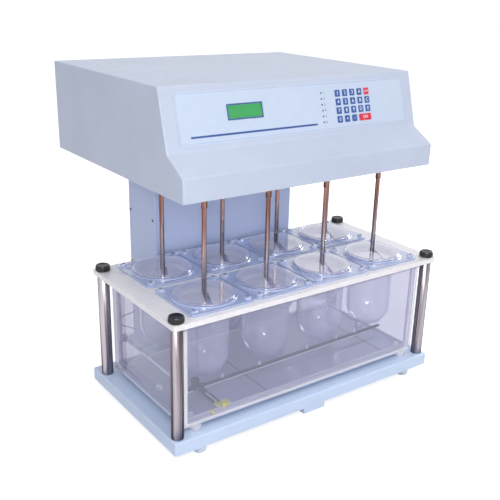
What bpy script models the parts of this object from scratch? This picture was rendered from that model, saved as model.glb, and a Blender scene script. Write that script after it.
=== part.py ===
"""Tablet dissolution tester: eight stirred glass vessels in a clear water bath.

Metres, +Z up. The front faces -Y and the keypad is on the +X side. The origin is on the
bench, under the middle of the machine's footprint.
"""
import math

import bmesh
import bpy
from mathutils import Matrix, Vector

# Fits between pieces
GAP = 0.0003                  # between two faces that touch
OVERRUN = 0.004               # how far a cutter passes the face that it opens

# Facets of the round pieces
SHAFT_SIDES = 12
VESSEL_SIDES = 20
BORE_SIDES = 24
KNOB_SIDES = 16
CORNER_STEPS = 2
BOWL_STEPS = 4

# Stations, in two rows of four
STATIONS_PER_ROW = 4
STATION_SPACING = 0.027       # between neighbouring vessel flanges along a row
ROW_CLEARANCE = 0.042         # between the flanges of the two rows
ROWS_MIDDLE_Y = -0.1165       # midway between the rows

# Glass vessels
VESSEL_DIAMETER = 0.105
VESSEL_WALL = 0.003
VESSEL_HEIGHT = 0.185
FLANGE_WIDTH = 0.0125
FLANGE_THICKNESS = 0.005

# Vessel lids
LID_INSET = 0.003             # of the lid's rim from the flange's rim
LID_THICKNESS = 0.0036
LID_BORE_PLAY = 0.0021        # round the paddle shaft
LID_SLOT_PLAY = 0.0011        # on each side of the shaft
LID_SLOT_ANGLE = math.radians(-113)

# Centring plates
CENTRING_SPACING = 0.004      # between neighbouring plates
CENTRING_THICKNESS = 0.005
CENTRING_CORNER_RADIUS = 0.012
CENTRING_BORE_PLAY = 0.0015   # round the vessel
CLIP_DIAMETER = 0.012
CLIP_HEIGHT = 0.005
CLIP_INSET = 0.013            # of a clip's middle from the plate's edges

# Vessel plate
PLATE_THICKNESS = 0.011
PLATE_CORNER_RADIUS = 0.004
PLATE_BORE_PLAY = 0.002       # round the vessel
PLATE_SIDE_EDGE = 0.0153      # from a post's middle to the plate's side
PLATE_FRONT_EDGE = 0.0175
PLATE_BACK_EDGE = 0.0205

# Water bath
BATH_WALL = 0.008
BATH_SIDE_CLEARANCE = 0.030   # from the outermost vessel to the inner wall
BATH_ROW_CLEARANCE = 0.006
UNDER_VESSEL_CLEARANCE = 0.0611
BATH_STANDOFF_HEIGHT = 0.0115
BATH_STANDOFF_DIAMETER = 0.028
STANDOFF_SIDE_INSET = 0.029   # of a standoff's middle from the bath's side
STANDOFF_END_INSET = 0.007    # of a standoff's middle from the bath's front or back
STANDOFF_SINK = 0.001         # into the bath's floor
BATH_RIM_HEIGHT = 0.015
BATH_RIM_WIDTH = 0.003

# Tubes in the bath
TUBE_DIAMETER = 0.007
TUBE_SIDES = 10
PROBE_TUBE_LENGTH = 0.225
PROBE_TUBE_WALL_OFFSET = 0.011
PROBE_TUBE_RISE = 0.0695      # above the bath's floor
PROBE_FITTING_DIAMETER = 0.018
PROBE_FITTING_LENGTH = 0.008
SUPPLY_TUBE_LENGTH = 0.568
SUPPLY_TUBE_RISE = 0.017
SUPPLY_TUBE_SETBACK = 0.095   # from the front wall's inner face
TEE_DIAMETER = 0.013
TEE_LENGTH = 0.030
TEE_INSET = 0.020             # of the tee's middle from the tube's free end
PLUG_DIAMETER = 0.010
PLUG_LENGTH = 0.008

# Posts and their knobs
POST_DIAMETER = 0.026
POST_GAP = 0.0047             # from the bath's side to the post
POST_ROW_OFFSET = 0.0075      # of a post's middle past the bath's front and back
STUD_DIAMETER = 0.008
STUD_PLAY = 0.0005
STUD_REACH = 0.009            # of the stud above the plate
KNOB_DIAMETER = 0.032
KNOB_HEIGHT = 0.0135
KNOB_CHAMFER = 0.002

# Base and feet
FOOT_HEIGHT = 0.015
FOOT_DIAMETER = 0.028
FOOT_TAPER = 0.002
FOOT_SIDE_INSET = 0.065
FOOT_END_INSET = 0.015
BASE_HEIGHT = 0.0285
BASE_WALL = 0.002
BASE_CORNER_RADIUS = 0.003
BASE_SIDE_EDGE = 0.001        # beyond the vessel plate
BASE_FRONT_EDGE = 0.002
BASE_BACK_EDGE = 0.022
BASE_TAIL_EDGE = 0.012        # beyond the column's sides
BASE_TAIL_BACK_EDGE = 0.002
REST_BLOCK_WIDTH = 0.059
REST_BLOCK_DEPTH = 0.040
REST_BLOCK_SETBACK = 0.001

# Column
SHEET = 0.002
COLUMN_WIDTH = 0.396
COLUMN_DEPTH = 0.1283
COLUMN_GAP = 0.0057           # behind the vessel plate
COLUMN_FLANGE = 0.018         # folded in at the open back

# Drive head
HEADROOM = 0.211              # from the lids to the head
HEAD_SIDE_MARGIN = 0.0895     # beyond the outermost shafts
HEAD_FRONT_MARGIN = 0.0705    # in front of the front row
HEAD_BACK_OVERHANG = 0.098    # behind the column
HEAD_HEIGHT = 0.1995
LIP_HEIGHT = 0.047
LEDGE_RISE = 0.0323
LEDGE_DEPTH = 0.0554
PANEL_SETBACK = 0.0339
BEND_RADIUS = 0.004
FLOOR_THICKNESS = 0.0025
BACK_PANEL_INSET = 0.008

# Control panel on the sloped front
OVERLAY_THICKNESS = 0.0008
OVERLAY_SIDE_MARGIN = 0.0293
OVERLAY_TOP_MARGIN = 0.0134
OVERLAY_BOTTOM_MARGIN = 0.0127
OVERLAY_CORNER_RADIUS = 0.003
DISPLAY_WIDTH = 0.085
DISPLAY_HEIGHT = 0.0313
DISPLAY_SIDE_INSET = 0.1127   # from the overlay's left edge
DISPLAY_TOP_INSET = 0.0276
DISPLAY_THICKNESS = 0.0015

# Paddles and their drive
SHAFT_DIAMETER = 0.0098
SHAFT_REACH = 0.0244          # below the lids
CHUCK_DIAMETER = 0.0125
CHUCK_LENGTH = 0.036
BEARING_DIAMETER = 0.024
BEARING_HEIGHT = 0.0155
PULLEY_DIAMETER = 0.040
PULLEY_HEIGHT = 0.012
SPINDLE_REACH = 0.015         # above the pulley
BELT_THICKNESS = 0.0025
BELT_WIDTH = 0.009
BELT_CORNER_STEPS = 6

# Drive motor on its bracket
MOTOR_DIAMETER = 0.060
MOTOR_HEIGHT = 0.070
MOTOR_PULLEY_DIAMETER = 0.030
MOTOR_SHAFT_DIAMETER = 0.008
MOTOR_SHAFT_REACH = 0.014     # into the motor
BRACKET_HEADROOM = 0.006      # above the pulley
BRACKET_SHEET = 0.003
BRACKET_WIDTH = 0.070
BRACKET_FRONT_REACH = 0.045
BRACKET_BACK_REACH = 0.040

# Power entry on the back panel
SWITCH_RADIUS = 0.0105
SWITCH_WIDTH = 0.012
SWITCH_SIDE_INSET = 0.090     # from the back panel's side
SWITCH_RISE = 0.040           # above the head's floor
SWITCH_TILT = math.radians(-12)
SWITCH_FACE_ANGLE = math.radians(70)
SWITCH_FACE_DIP = 0.0015
SWITCH_STEPS = 6
INLET_WIDTH = 0.028
INLET_HEIGHT = 0.020
INLET_DEPTH = 0.018
INLET_WALL = 0.002
INLET_SPACING = 0.042         # from the switch's middle to the inlet's

# Stations: places that follow from the sizes above
VESSEL_RADIUS = VESSEL_DIAMETER / 2
FLANGE_RADIUS = VESSEL_RADIUS + FLANGE_WIDTH
STATION_PITCH = 2 * FLANGE_RADIUS + STATION_SPACING
ROW_PITCH = 2 * FLANGE_RADIUS + ROW_CLEARANCE
ROW_YS = (ROWS_MIDDLE_Y - ROW_PITCH / 2, ROWS_MIDDLE_Y + ROW_PITCH / 2)
FIRST_STATION_X = -STATION_PITCH * (STATIONS_PER_ROW - 1) / 2
STATION_XS = tuple(FIRST_STATION_X + i * STATION_PITCH for i in range(STATIONS_PER_ROW))
STATIONS = tuple((x, y) for y in ROW_YS for x in STATION_XS)

# Heights, from the bench up
BASE_TOP = FOOT_HEIGHT + BASE_HEIGHT
BATH_BOTTOM = BASE_TOP + BATH_STANDOFF_HEIGHT
BATH_FLOOR = BATH_BOTTOM + BATH_WALL
VESSEL_BOTTOM = BATH_FLOOR + UNDER_VESSEL_CLEARANCE
FLANGE_TOP = VESSEL_BOTTOM + VESSEL_HEIGHT
FLANGE_BOTTOM = FLANGE_TOP - FLANGE_THICKNESS
CENTRING_TOP = FLANGE_BOTTOM - GAP
CENTRING_BOTTOM = CENTRING_TOP - CENTRING_THICKNESS
PLATE_TOP = CENTRING_BOTTOM - GAP
PLATE_BOTTOM = PLATE_TOP - PLATE_THICKNESS
BATH_TOP = PLATE_BOTTOM - GAP
LID_BOTTOM = FLANGE_TOP + GAP
LID_TOP = LID_BOTTOM + LID_THICKNESS
HEAD_BOTTOM = LID_TOP + HEADROOM
HEAD_TOP = HEAD_BOTTOM + HEAD_HEIGHT
FLOOR_TOP = HEAD_BOTTOM + FLOOR_THICKNESS
BEARING_TOP = FLOOR_TOP + BEARING_HEIGHT
PULLEY_BOTTOM = BEARING_TOP + GAP
PULLEY_TOP = PULLEY_BOTTOM + PULLEY_HEIGHT

# Widths and depths, from the bath outwards
BATH_HALF_WIDTH = STATION_XS[-1] + VESSEL_RADIUS + BATH_SIDE_CLEARANCE + BATH_WALL
BATH_ROW_MARGIN = VESSEL_RADIUS + BATH_ROW_CLEARANCE + BATH_WALL
BATH_FRONT = ROW_YS[0] - BATH_ROW_MARGIN
BATH_BACK = ROW_YS[1] + BATH_ROW_MARGIN
POST_X = BATH_HALF_WIDTH + POST_GAP + POST_DIAMETER / 2
POST_YS = (BATH_FRONT - POST_ROW_OFFSET, BATH_BACK + POST_ROW_OFFSET)
POSTS = tuple((x, y) for y in POST_YS for x in (-POST_X, POST_X))
PLATE_HALF_WIDTH = POST_X + PLATE_SIDE_EDGE
PLATE_FRONT = POST_YS[0] - PLATE_FRONT_EDGE
PLATE_BACK = POST_YS[1] + PLATE_BACK_EDGE
BASE_HALF_WIDTH = PLATE_HALF_WIDTH + BASE_SIDE_EDGE
BASE_FRONT = PLATE_FRONT - BASE_FRONT_EDGE
BASE_BACK = PLATE_BACK + BASE_BACK_EDGE
COLUMN_HALF_WIDTH = COLUMN_WIDTH / 2
COLUMN_FRONT = PLATE_BACK + COLUMN_GAP
COLUMN_BACK = COLUMN_FRONT + COLUMN_DEPTH
TAIL_HALF_WIDTH = COLUMN_HALF_WIDTH + BASE_TAIL_EDGE
TAIL_BACK = COLUMN_BACK + BASE_TAIL_BACK_EDGE
HEAD_HALF_WIDTH = STATION_XS[-1] + HEAD_SIDE_MARGIN
HEAD_FRONT = ROW_YS[0] - HEAD_FRONT_MARGIN
HEAD_BACK = COLUMN_BACK + HEAD_BACK_OVERHANG
HEAD_INNER_HALF_WIDTH = HEAD_HALF_WIDTH - SHEET
BACK_PANEL_Y = HEAD_BACK - BACK_PANEL_INSET

# The sloped panel, from its top edge to its bottom edge
PANEL_BOTTOM = Vector((0, HEAD_FRONT + LEDGE_DEPTH, HEAD_BOTTOM + LIP_HEIGHT + LEDGE_RISE))
PANEL_TOP = Vector((0, PANEL_BOTTOM.y + PANEL_SETBACK, HEAD_TOP))
PANEL_UP = (PANEL_TOP - PANEL_BOTTOM).normalized()
PANEL_OUT = Vector((1, 0, 0)).cross(PANEL_UP)

# Drive places
SHAFT_RADIUS = SHAFT_DIAMETER / 2
PULLEY_RADIUS = PULLEY_DIAMETER / 2
MOTOR_PULLEY_RADIUS = MOTOR_PULLEY_DIAMETER / 2
MOTOR_Y = ROW_YS[1] + PULLEY_RADIUS - MOTOR_PULLEY_RADIUS
BRACKET_BOTTOM = PULLEY_TOP + BRACKET_HEADROOM
MOTOR_BOTTOM = BRACKET_BOTTOM + BRACKET_SHEET
SWITCH_X = -HEAD_INNER_HALF_WIDTH + SWITCH_SIDE_INSET
SWITCH_Z = FLOOR_TOP + SWITCH_RISE
SWITCH_Y = BACK_PANEL_Y - SHEET / 2


def clear_scene():
    """Remove whatever the scene holds."""
    for thing in list(bpy.data.objects):
        bpy.data.objects.remove(thing, do_unlink=True)


def paint(name, colour, roughness, metallic=0.0, alpha=1.0):
    """Make a plain material."""
    material = bpy.data.materials.new(name)
    material.use_nodes = True
    shader = material.node_tree.nodes["Principled BSDF"]
    shader.inputs["Base Color"].default_value = (*colour, 1.0)
    shader.inputs["Roughness"].default_value = roughness
    shader.inputs["Metallic"].default_value = metallic
    shader.inputs["Alpha"].default_value = alpha
    return material


def clearing_radius(radius, sides):
    """Radius of a many-sided bore whose flats stay one gap clear of a turning piece."""
    return (radius + GAP) / math.cos(math.pi / sides)


def rectangle(x0, x1, y0, y1):
    """Corners of a rectangle, anticlockwise."""
    return [Vector((x0, y0)), Vector((x1, y0)), Vector((x1, y1)), Vector((x0, y1))]


def rounded(corners, radius, steps=CORNER_STEPS, sharp=()):
    """Outline with an arc at each corner, but for those listed as sharp."""
    points = []
    for i, corner in enumerate(corners):
        if i in sharp:
            points.append(corner)
            continue
        back = (corners[i - 1] - corner).normalized()
        ahead = (corners[(i + 1) % len(corners)] - corner).normalized()
        half = back.angle(ahead) / 2
        centre = corner + (back + ahead).normalized() * radius / math.sin(half)
        start = corner + back * radius / math.tan(half) - centre
        end = corner + ahead * radius / math.tan(half) - centre
        turn = math.atan2(start.cross(end), start.dot(end))
        for step in range(steps + 1):
            points.append(centre + Matrix.Rotation(turn * step / steps, 2) @ start)
    return points


def inset(corners, distance):
    """Move every side of an anticlockwise outline inwards."""
    points = []
    for i, corner in enumerate(corners):
        before = (corner - corners[i - 1]).normalized()
        after = (corners[(i + 1) % len(corners)] - corner).normalized()
        first = Vector((-before.y, before.x))
        second = Vector((-after.y, after.x))
        points.append(corner + (first + second) * distance / (1 + first.dot(second)))
    return points


def add_prism(shape, outline, low, high, axis="Z"):
    """Sweep an outline from low to high along an axis, with flat ends."""
    places = {
        "X": lambda point, level: (level, point[0], point[1]),
        "Y": lambda point, level: (point[0], level, point[1]),
        "Z": lambda point, level: (point[0], point[1], level),
    }
    place = places[axis]
    bottom = [shape.verts.new(place(point, low)) for point in outline]
    top = [shape.verts.new(place(point, high)) for point in outline]
    shape.faces.new(bottom)
    shape.faces.new(top)
    for i in range(len(outline)):
        shape.faces.new((bottom[i - 1], bottom[i], top[i], top[i - 1]))


def add_block(shape, low, high):
    """Add a box between two corners."""
    add_prism(shape, rectangle(low[0], high[0], low[1], high[1]), low[2], high[2])


def add_turned(shape, profile, sides, centre=(0, 0)):
    """Turn (radius, height) points about Z, from the axis round to the axis again."""
    rings = []
    for radius, height in profile:
        if radius == 0:
            rings.append([shape.verts.new((centre[0], centre[1], height))])
            continue
        angles = [2 * math.pi * i / sides for i in range(sides)]
        rings.append([shape.verts.new((centre[0] + radius * math.cos(angle),
                                       centre[1] + radius * math.sin(angle),
                                       height)) for angle in angles])
    for lower, upper in zip(rings, rings[1:]):
        for i in range(sides):
            corners = {lower[i - 1] if len(lower) > 1 else lower[0]: None,
                       lower[i] if len(lower) > 1 else lower[0]: None,
                       upper[i] if len(upper) > 1 else upper[0]: None,
                       upper[i - 1] if len(upper) > 1 else upper[0]: None}
            shape.faces.new(list(corners))


def add_rod(shape, radius, low, high, sides, centre=(0, 0)):
    """Add an upright round bar."""
    add_turned(shape, [(0, low), (radius, low), (radius, high), (0, high)], sides, centre)


def add_cross_rod(shape, radius, low, high, sides, centre, axis):
    """Add a level round bar along X or Y."""
    outline = []
    for i in range(sides):
        angle = 2 * math.pi * i / sides
        outline.append(Vector(centre) + radius * Vector((math.cos(angle), math.sin(angle))))
    add_prism(shape, outline, low, high, axis)


def mesh_from(name, shape):
    """Close a shape into a mesh with its faces pointing out."""
    bmesh.ops.recalc_face_normals(shape, faces=shape.faces)
    mesh = bpy.data.meshes.new(name)
    shape.to_mesh(mesh)
    shape.free()
    return mesh


def place(name, mesh, material, location=(0, 0, 0)):
    """Put one named piece in the scene."""
    if not mesh.materials:
        mesh.materials.append(material)
    piece = bpy.data.objects.new(name, mesh)
    piece.location = location
    bpy.context.scene.collection.objects.link(piece)
    return piece


def combine(mesh, tool_shape, operation):
    """Cut a mesh by a tool shape, or fuse the shape to it."""
    body = bpy.data.objects.new("body", mesh)
    tool_mesh = mesh_from("tool", tool_shape)
    tool = bpy.data.objects.new("tool", tool_mesh)
    tool.hide_render = True
    tool.display_type = "WIRE"
    for thing in (body, tool):
        bpy.context.scene.collection.objects.link(thing)
    step = body.modifiers.new("combine", "BOOLEAN")
    step.operation = operation
    step.solver = "EXACT"
    step.object = tool
    graph = bpy.context.evaluated_depsgraph_get()
    result = bpy.data.meshes.new_from_object(body.evaluated_get(graph))
    result.name = mesh.name
    result.materials.clear()
    for thing in (body, tool):
        bpy.data.objects.remove(thing, do_unlink=True)
    bpy.data.meshes.remove(mesh)
    bpy.data.meshes.remove(tool_mesh)
    return result


def smooth(mesh, angle=math.radians(30)):
    """Shade round sides smooth and keep real edges sharp."""
    mesh.shade_smooth()
    mesh.set_sharp_from_angle(angle=angle)
    return mesh


def foot_places():
    """Middles of the four feet."""
    x = BASE_HALF_WIDTH - FOOT_SIDE_INSET
    ys = (BASE_FRONT + FOOT_END_INSET, BASE_BACK - FOOT_END_INSET)
    return [(side * x, y) for y in ys for side in (-1, 1)]


def base_outline():
    """Base seen from above, with its narrower tail under the column."""
    return [Vector(point) for point in (
        (-BASE_HALF_WIDTH, BASE_FRONT), (BASE_HALF_WIDTH, BASE_FRONT),
        (BASE_HALF_WIDTH, BASE_BACK), (TAIL_HALF_WIDTH, BASE_BACK),
        (TAIL_HALF_WIDTH, TAIL_BACK), (-TAIL_HALF_WIDTH, TAIL_BACK),
        (-TAIL_HALF_WIDTH, BASE_BACK), (-BASE_HALF_WIDTH, BASE_BACK))]


def make_base(material):
    """Folded sheet tray, open below, with solid pads over the feet and a front rest."""
    shell = bmesh.new()
    add_prism(shell, rounded(base_outline(), BASE_CORNER_RADIUS), FOOT_HEIGHT, BASE_TOP)
    mesh = mesh_from("base_tray", shell)
    hollow = bmesh.new()
    ceiling = BASE_TOP - BASE_WALL
    inner = inset(base_outline(), BASE_WALL)
    add_prism(hollow, inner, FOOT_HEIGHT - OVERRUN, ceiling)
    mesh = combine(mesh, hollow, "DIFFERENCE")
    pads = bmesh.new()
    reach = FOOT_END_INSET - BASE_WALL / 2
    pad_top = BASE_TOP - BASE_WALL / 2
    for x, y in foot_places():
        add_block(pads, (x - reach, y - reach, FOOT_HEIGHT), (x + reach, y + reach, pad_top))
    half = REST_BLOCK_WIDTH / 2
    front = BASE_FRONT + REST_BLOCK_SETBACK
    add_block(pads, (-half, front, 0), (half, front + REST_BLOCK_DEPTH, pad_top))
    mesh = combine(mesh, pads, "UNION")
    place("base_tray", mesh, material)


def make_feet(material):
    """Four round feet, a little narrower at the bench."""
    shape = bmesh.new()
    radius = FOOT_DIAMETER / 2
    top = FOOT_HEIGHT - GAP
    add_turned(shape, [(0, 0), (radius - FOOT_TAPER, 0), (radius, FOOT_TAPER),
                       (radius, top), (0, top)], KNOB_SIDES)
    mesh = smooth(mesh_from("foot", shape))
    for i, (x, y) in enumerate(foot_places(), start=1):
        place(f"foot_{i}", mesh, material, (x, y, 0))


def make_posts(steel, black):
    """Steel posts with a threaded stud through the vessel plate, and their knobs."""
    post = bmesh.new()
    shoulder = PLATE_BOTTOM - GAP
    stud_radius = STUD_DIAMETER / 2
    stud_top = PLATE_TOP + STUD_REACH
    add_turned(post, [(0, BASE_TOP + GAP), (POST_DIAMETER / 2, BASE_TOP + GAP),
                      (POST_DIAMETER / 2, shoulder), (stud_radius, shoulder),
                      (stud_radius, stud_top), (0, stud_top)], KNOB_SIDES)
    post_mesh = smooth(mesh_from("post", post))
    knob = bmesh.new()
    radius = KNOB_DIAMETER / 2
    bottom = PLATE_TOP + GAP
    top = PLATE_TOP + KNOB_HEIGHT
    bore = clearing_radius(stud_radius, KNOB_SIDES)
    add_turned(knob, [(0, stud_top + GAP), (bore, stud_top + GAP), (bore, bottom),
                      (radius, bottom), (radius, top - KNOB_CHAMFER),
                      (radius - KNOB_CHAMFER, top), (0, top)], KNOB_SIDES)
    knob_mesh = smooth(mesh_from("post_knob", knob))
    for i, (x, y) in enumerate(POSTS, start=1):
        place(f"post_{i}", post_mesh, steel, (x, y, 0))
        place(f"post_knob_{i}", knob_mesh, black, (x, y, 0))


def make_vessel_plate(material):
    """Plate that carries the eight vessels over the bath."""
    shape = bmesh.new()
    outline = rectangle(-PLATE_HALF_WIDTH, PLATE_HALF_WIDTH, PLATE_FRONT, PLATE_BACK)
    add_prism(shape, rounded(outline, PLATE_CORNER_RADIUS), PLATE_BOTTOM, PLATE_TOP)
    mesh = mesh_from("vessel_plate", shape)
    holes = bmesh.new()
    low = PLATE_BOTTOM - OVERRUN
    high = PLATE_TOP + OVERRUN
    for station in STATIONS:
        add_rod(holes, VESSEL_RADIUS + PLATE_BORE_PLAY, low, high, BORE_SIDES, station)
    for post in POSTS:
        add_rod(holes, STUD_DIAMETER / 2 + STUD_PLAY, low, high, KNOB_SIDES, post)
    place("vessel_plate", combine(mesh, holes, "DIFFERENCE"), material)


def make_centring_plates(material):
    """Square plates that centre the vessels, each with a clip post at its corners."""
    shape = bmesh.new()
    half = (STATION_PITCH - CENTRING_SPACING) / 2
    outline = rounded(rectangle(-half, half, -half, half), CENTRING_CORNER_RADIUS)
    add_prism(shape, outline, CENTRING_BOTTOM, CENTRING_TOP)
    mesh = mesh_from("centring_plate", shape)
    hole = bmesh.new()
    add_rod(hole, VESSEL_RADIUS + CENTRING_BORE_PLAY, CENTRING_BOTTOM - OVERRUN,
            CENTRING_TOP + OVERRUN, BORE_SIDES)
    mesh = combine(mesh, hole, "DIFFERENCE")
    clips = bmesh.new()
    reach = half - CLIP_INSET
    for x in (-reach, reach):
        for y in (-reach, reach):
            add_rod(clips, CLIP_DIAMETER / 2, CENTRING_TOP - CENTRING_THICKNESS / 2,
                    CENTRING_TOP + CLIP_HEIGHT, SHAFT_SIDES, (x, y))
    mesh = combine(mesh, clips, "UNION")
    for i, (x, y) in enumerate(STATIONS, start=1):
        place(f"centring_plate_{i}", mesh, material, (x, y, 0))


def bowl_arc(radius):
    """Half profile of a round-bottomed vessel, from its lowest point to its side."""
    middle = VESSEL_BOTTOM + VESSEL_RADIUS
    turns = [math.pi / 2 * step / BOWL_STEPS for step in range(1, BOWL_STEPS + 1)]
    arc = [(radius * math.sin(turn), middle - radius * math.cos(turn)) for turn in turns]
    return [(0, middle - radius)] + arc


def make_vessels(material):
    """Round-bottomed glass vessels that hang by their flanges."""
    shape = bmesh.new()
    inner_radius = VESSEL_RADIUS - VESSEL_WALL
    profile = bowl_arc(VESSEL_RADIUS)
    profile += [(VESSEL_RADIUS, FLANGE_BOTTOM), (FLANGE_RADIUS, FLANGE_BOTTOM),
                (FLANGE_RADIUS, FLANGE_TOP), (inner_radius, FLANGE_TOP)]
    profile += reversed(bowl_arc(inner_radius))
    add_turned(shape, profile, VESSEL_SIDES)
    mesh = smooth(mesh_from("vessel", shape))
    for i, (x, y) in enumerate(STATIONS, start=1):
        place(f"vessel_{i}", mesh, material, (x, y, 0))


def lid_outline():
    """Disc with a slot from its rim into the hole at its middle."""
    rim = FLANGE_RADIUS - LID_INSET
    hole = SHAFT_RADIUS + LID_BORE_PLAY
    slot_half_width = SHAFT_RADIUS + LID_SLOT_PLAY
    outline = []
    for radius, steps, way in ((rim, VESSEL_SIDES, 1), (hole, SHAFT_SIDES // 2, -1)):
        mouth = math.asin(slot_half_width / radius)
        sweep = 2 * math.pi - 2 * mouth
        for step in range(steps + 1):
            angle = LID_SLOT_ANGLE + way * (mouth + sweep * step / steps)
            outline.append(Vector((math.cos(angle), math.sin(angle))) * radius)
    return outline


def make_lids(material):
    """Slotted lids that lie on the vessel flanges round the paddle shafts."""
    shape = bmesh.new()
    add_prism(shape, lid_outline(), LID_BOTTOM, LID_TOP)
    mesh = mesh_from("vessel_lid", shape)
    for i, (x, y) in enumerate(STATIONS, start=1):
        place(f"vessel_lid_{i}", mesh, material, (x, y, 0))


def make_paddles(steel):
    """Paddle shafts through the lids, with their chuck and drive pulley."""
    shaft_bottom = LID_BOTTOM - SHAFT_REACH
    chuck_top = HEAD_BOTTOM - GAP
    chuck_bottom = chuck_top - CHUCK_LENGTH
    spindle_top = PULLEY_TOP + SPINDLE_REACH
    shape = bmesh.new()
    add_turned(shape, [(0, shaft_bottom), (SHAFT_RADIUS, shaft_bottom),
                       (SHAFT_RADIUS, chuck_bottom), (CHUCK_DIAMETER / 2, chuck_bottom),
                       (CHUCK_DIAMETER / 2, chuck_top), (SHAFT_RADIUS, chuck_top),
                       (SHAFT_RADIUS, PULLEY_BOTTOM), (PULLEY_RADIUS, PULLEY_BOTTOM),
                       (PULLEY_RADIUS, PULLEY_TOP), (SHAFT_RADIUS, PULLEY_TOP),
                       (SHAFT_RADIUS, spindle_top), (0, spindle_top)], SHAFT_SIDES)
    mesh = smooth(mesh_from("paddle_shaft", shape))
    for i, (x, y) in enumerate(STATIONS, start=1):
        place(f"paddle_shaft_{i}", mesh, steel, (x, y, 0))


def make_bath(material):
    """Clear open-topped tank on short standoffs, with a strip round its rim."""
    shape = bmesh.new()
    add_block(shape, (-BATH_HALF_WIDTH, BATH_FRONT, BATH_BOTTOM),
              (BATH_HALF_WIDTH, BATH_BACK, BATH_TOP))
    mesh = mesh_from("water_bath", shape)
    extras = bmesh.new()
    rim_bottom = BATH_TOP - BATH_RIM_HEIGHT
    add_block(extras, (-BATH_HALF_WIDTH - BATH_RIM_WIDTH, BATH_FRONT - BATH_RIM_WIDTH, rim_bottom),
              (BATH_HALF_WIDTH + BATH_RIM_WIDTH, BATH_BACK + BATH_RIM_WIDTH, BATH_TOP))
    reach = BATH_HALF_WIDTH - STANDOFF_SIDE_INSET
    ends = (BATH_FRONT + STANDOFF_END_INSET, BATH_BACK - STANDOFF_END_INSET)
    for x in (-reach, reach):
        for y in (*ends, sum(ends) / 2):
            add_rod(extras, BATH_STANDOFF_DIAMETER / 2, BASE_TOP + GAP,
                    BATH_BOTTOM + STANDOFF_SINK, TUBE_SIDES, (x, y))
    mesh = combine(mesh, extras, "UNION")
    hollow = bmesh.new()
    add_block(hollow, (BATH_WALL - BATH_HALF_WIDTH, BATH_FRONT + BATH_WALL, BATH_FLOOR),
              (BATH_HALF_WIDTH - BATH_WALL, BATH_BACK - BATH_WALL, BATH_TOP + OVERRUN))
    place("water_bath", combine(mesh, hollow, "DIFFERENCE"), material)


def make_probe_tube(material):
    """Sensor tube along the bath's left side, screwed into its back wall."""
    centre = (BATH_WALL - BATH_HALF_WIDTH + PROBE_TUBE_WALL_OFFSET, BATH_FLOOR + PROBE_TUBE_RISE)
    back = BATH_BACK - BATH_WALL - GAP
    tube = bmesh.new()
    add_cross_rod(tube, TUBE_DIAMETER / 2, back - PROBE_TUBE_LENGTH,
                  back - PROBE_FITTING_LENGTH / 2, TUBE_SIDES, centre, "Y")
    fitting = bmesh.new()
    add_cross_rod(fitting, PROBE_FITTING_DIAMETER / 2, back - PROBE_FITTING_LENGTH, back,
                  KNOB_SIDES, centre, "Y")
    mesh = combine(mesh_from("probe_tube", tube), fitting, "UNION")
    place("probe_tube", smooth(mesh), material)


def make_supply_tube(material):
    """Water tube along the bath's floor, with a tee whose branch meets the front wall."""
    wall_x = BATH_HALF_WIDTH - BATH_WALL - GAP
    wall_y = BATH_FRONT + BATH_WALL + GAP
    free_end = wall_x - SUPPLY_TUBE_LENGTH
    y = BATH_FRONT + BATH_WALL + SUPPLY_TUBE_SETBACK
    z = BATH_FLOOR + SUPPLY_TUBE_RISE
    tee_x = free_end + TEE_INSET
    tube = bmesh.new()
    add_cross_rod(tube, TUBE_DIAMETER / 2, free_end, wall_x, TUBE_SIDES, (y, z), "X")
    tee = bmesh.new()
    add_cross_rod(tee, TEE_DIAMETER / 2, tee_x - TEE_LENGTH / 2, tee_x + TEE_LENGTH / 2,
                  SHAFT_SIDES, (y, z), "X")
    mesh = combine(mesh_from("supply_tube", tube), tee, "UNION")
    branch = bmesh.new()
    add_cross_rod(branch, TUBE_DIAMETER / 2, wall_y + PLUG_LENGTH / 2, y, TUBE_SIDES,
                  (tee_x, z), "Y")
    mesh = combine(mesh, branch, "UNION")
    plug = bmesh.new()
    add_cross_rod(plug, PLUG_DIAMETER / 2, wall_y, wall_y + PLUG_LENGTH, SHAFT_SIDES,
                  (tee_x, z), "Y")
    place("supply_tube", smooth(combine(mesh, plug, "UNION")), material)


def make_column(material):
    """Folded column between base and head, open at the back, and its cover."""
    bottom = BASE_TOP + GAP
    top = HEAD_BOTTOM - GAP
    shell = bmesh.new()
    add_block(shell, (-COLUMN_HALF_WIDTH, COLUMN_FRONT, bottom),
              (COLUMN_HALF_WIDTH, COLUMN_BACK, top))
    mesh = mesh_from("column_shell", shell)
    inner_half = COLUMN_HALF_WIDTH - SHEET
    flange_front = COLUMN_BACK - 2 * SHEET
    hollow = bmesh.new()
    add_block(hollow, (-inner_half, COLUMN_FRONT + SHEET, bottom + SHEET),
              (inner_half, flange_front - SHEET, top - SHEET))
    mesh = combine(mesh, hollow, "DIFFERENCE")
    mouth = bmesh.new()
    add_block(mouth, (COLUMN_FLANGE - inner_half, flange_front - SHEET - OVERRUN,
                      bottom + COLUMN_FLANGE),
              (inner_half - COLUMN_FLANGE, COLUMN_BACK + OVERRUN, top - COLUMN_FLANGE))
    mesh = combine(mesh, mouth, "DIFFERENCE")
    seat = bmesh.new()
    add_block(seat, (-inner_half, flange_front, bottom + SHEET),
              (inner_half, COLUMN_BACK + OVERRUN, top - SHEET))
    place("column_shell", combine(mesh, seat, "DIFFERENCE"), material)
    cover = bmesh.new()
    cover_half = inner_half - GAP
    cover_front = flange_front + GAP
    add_block(cover, (-cover_half, cover_front, bottom + SHEET + GAP),
              (cover_half, cover_front + SHEET, top - SHEET - GAP))
    place("column_back_cover", mesh_from("column_back_cover", cover), material)


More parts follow.
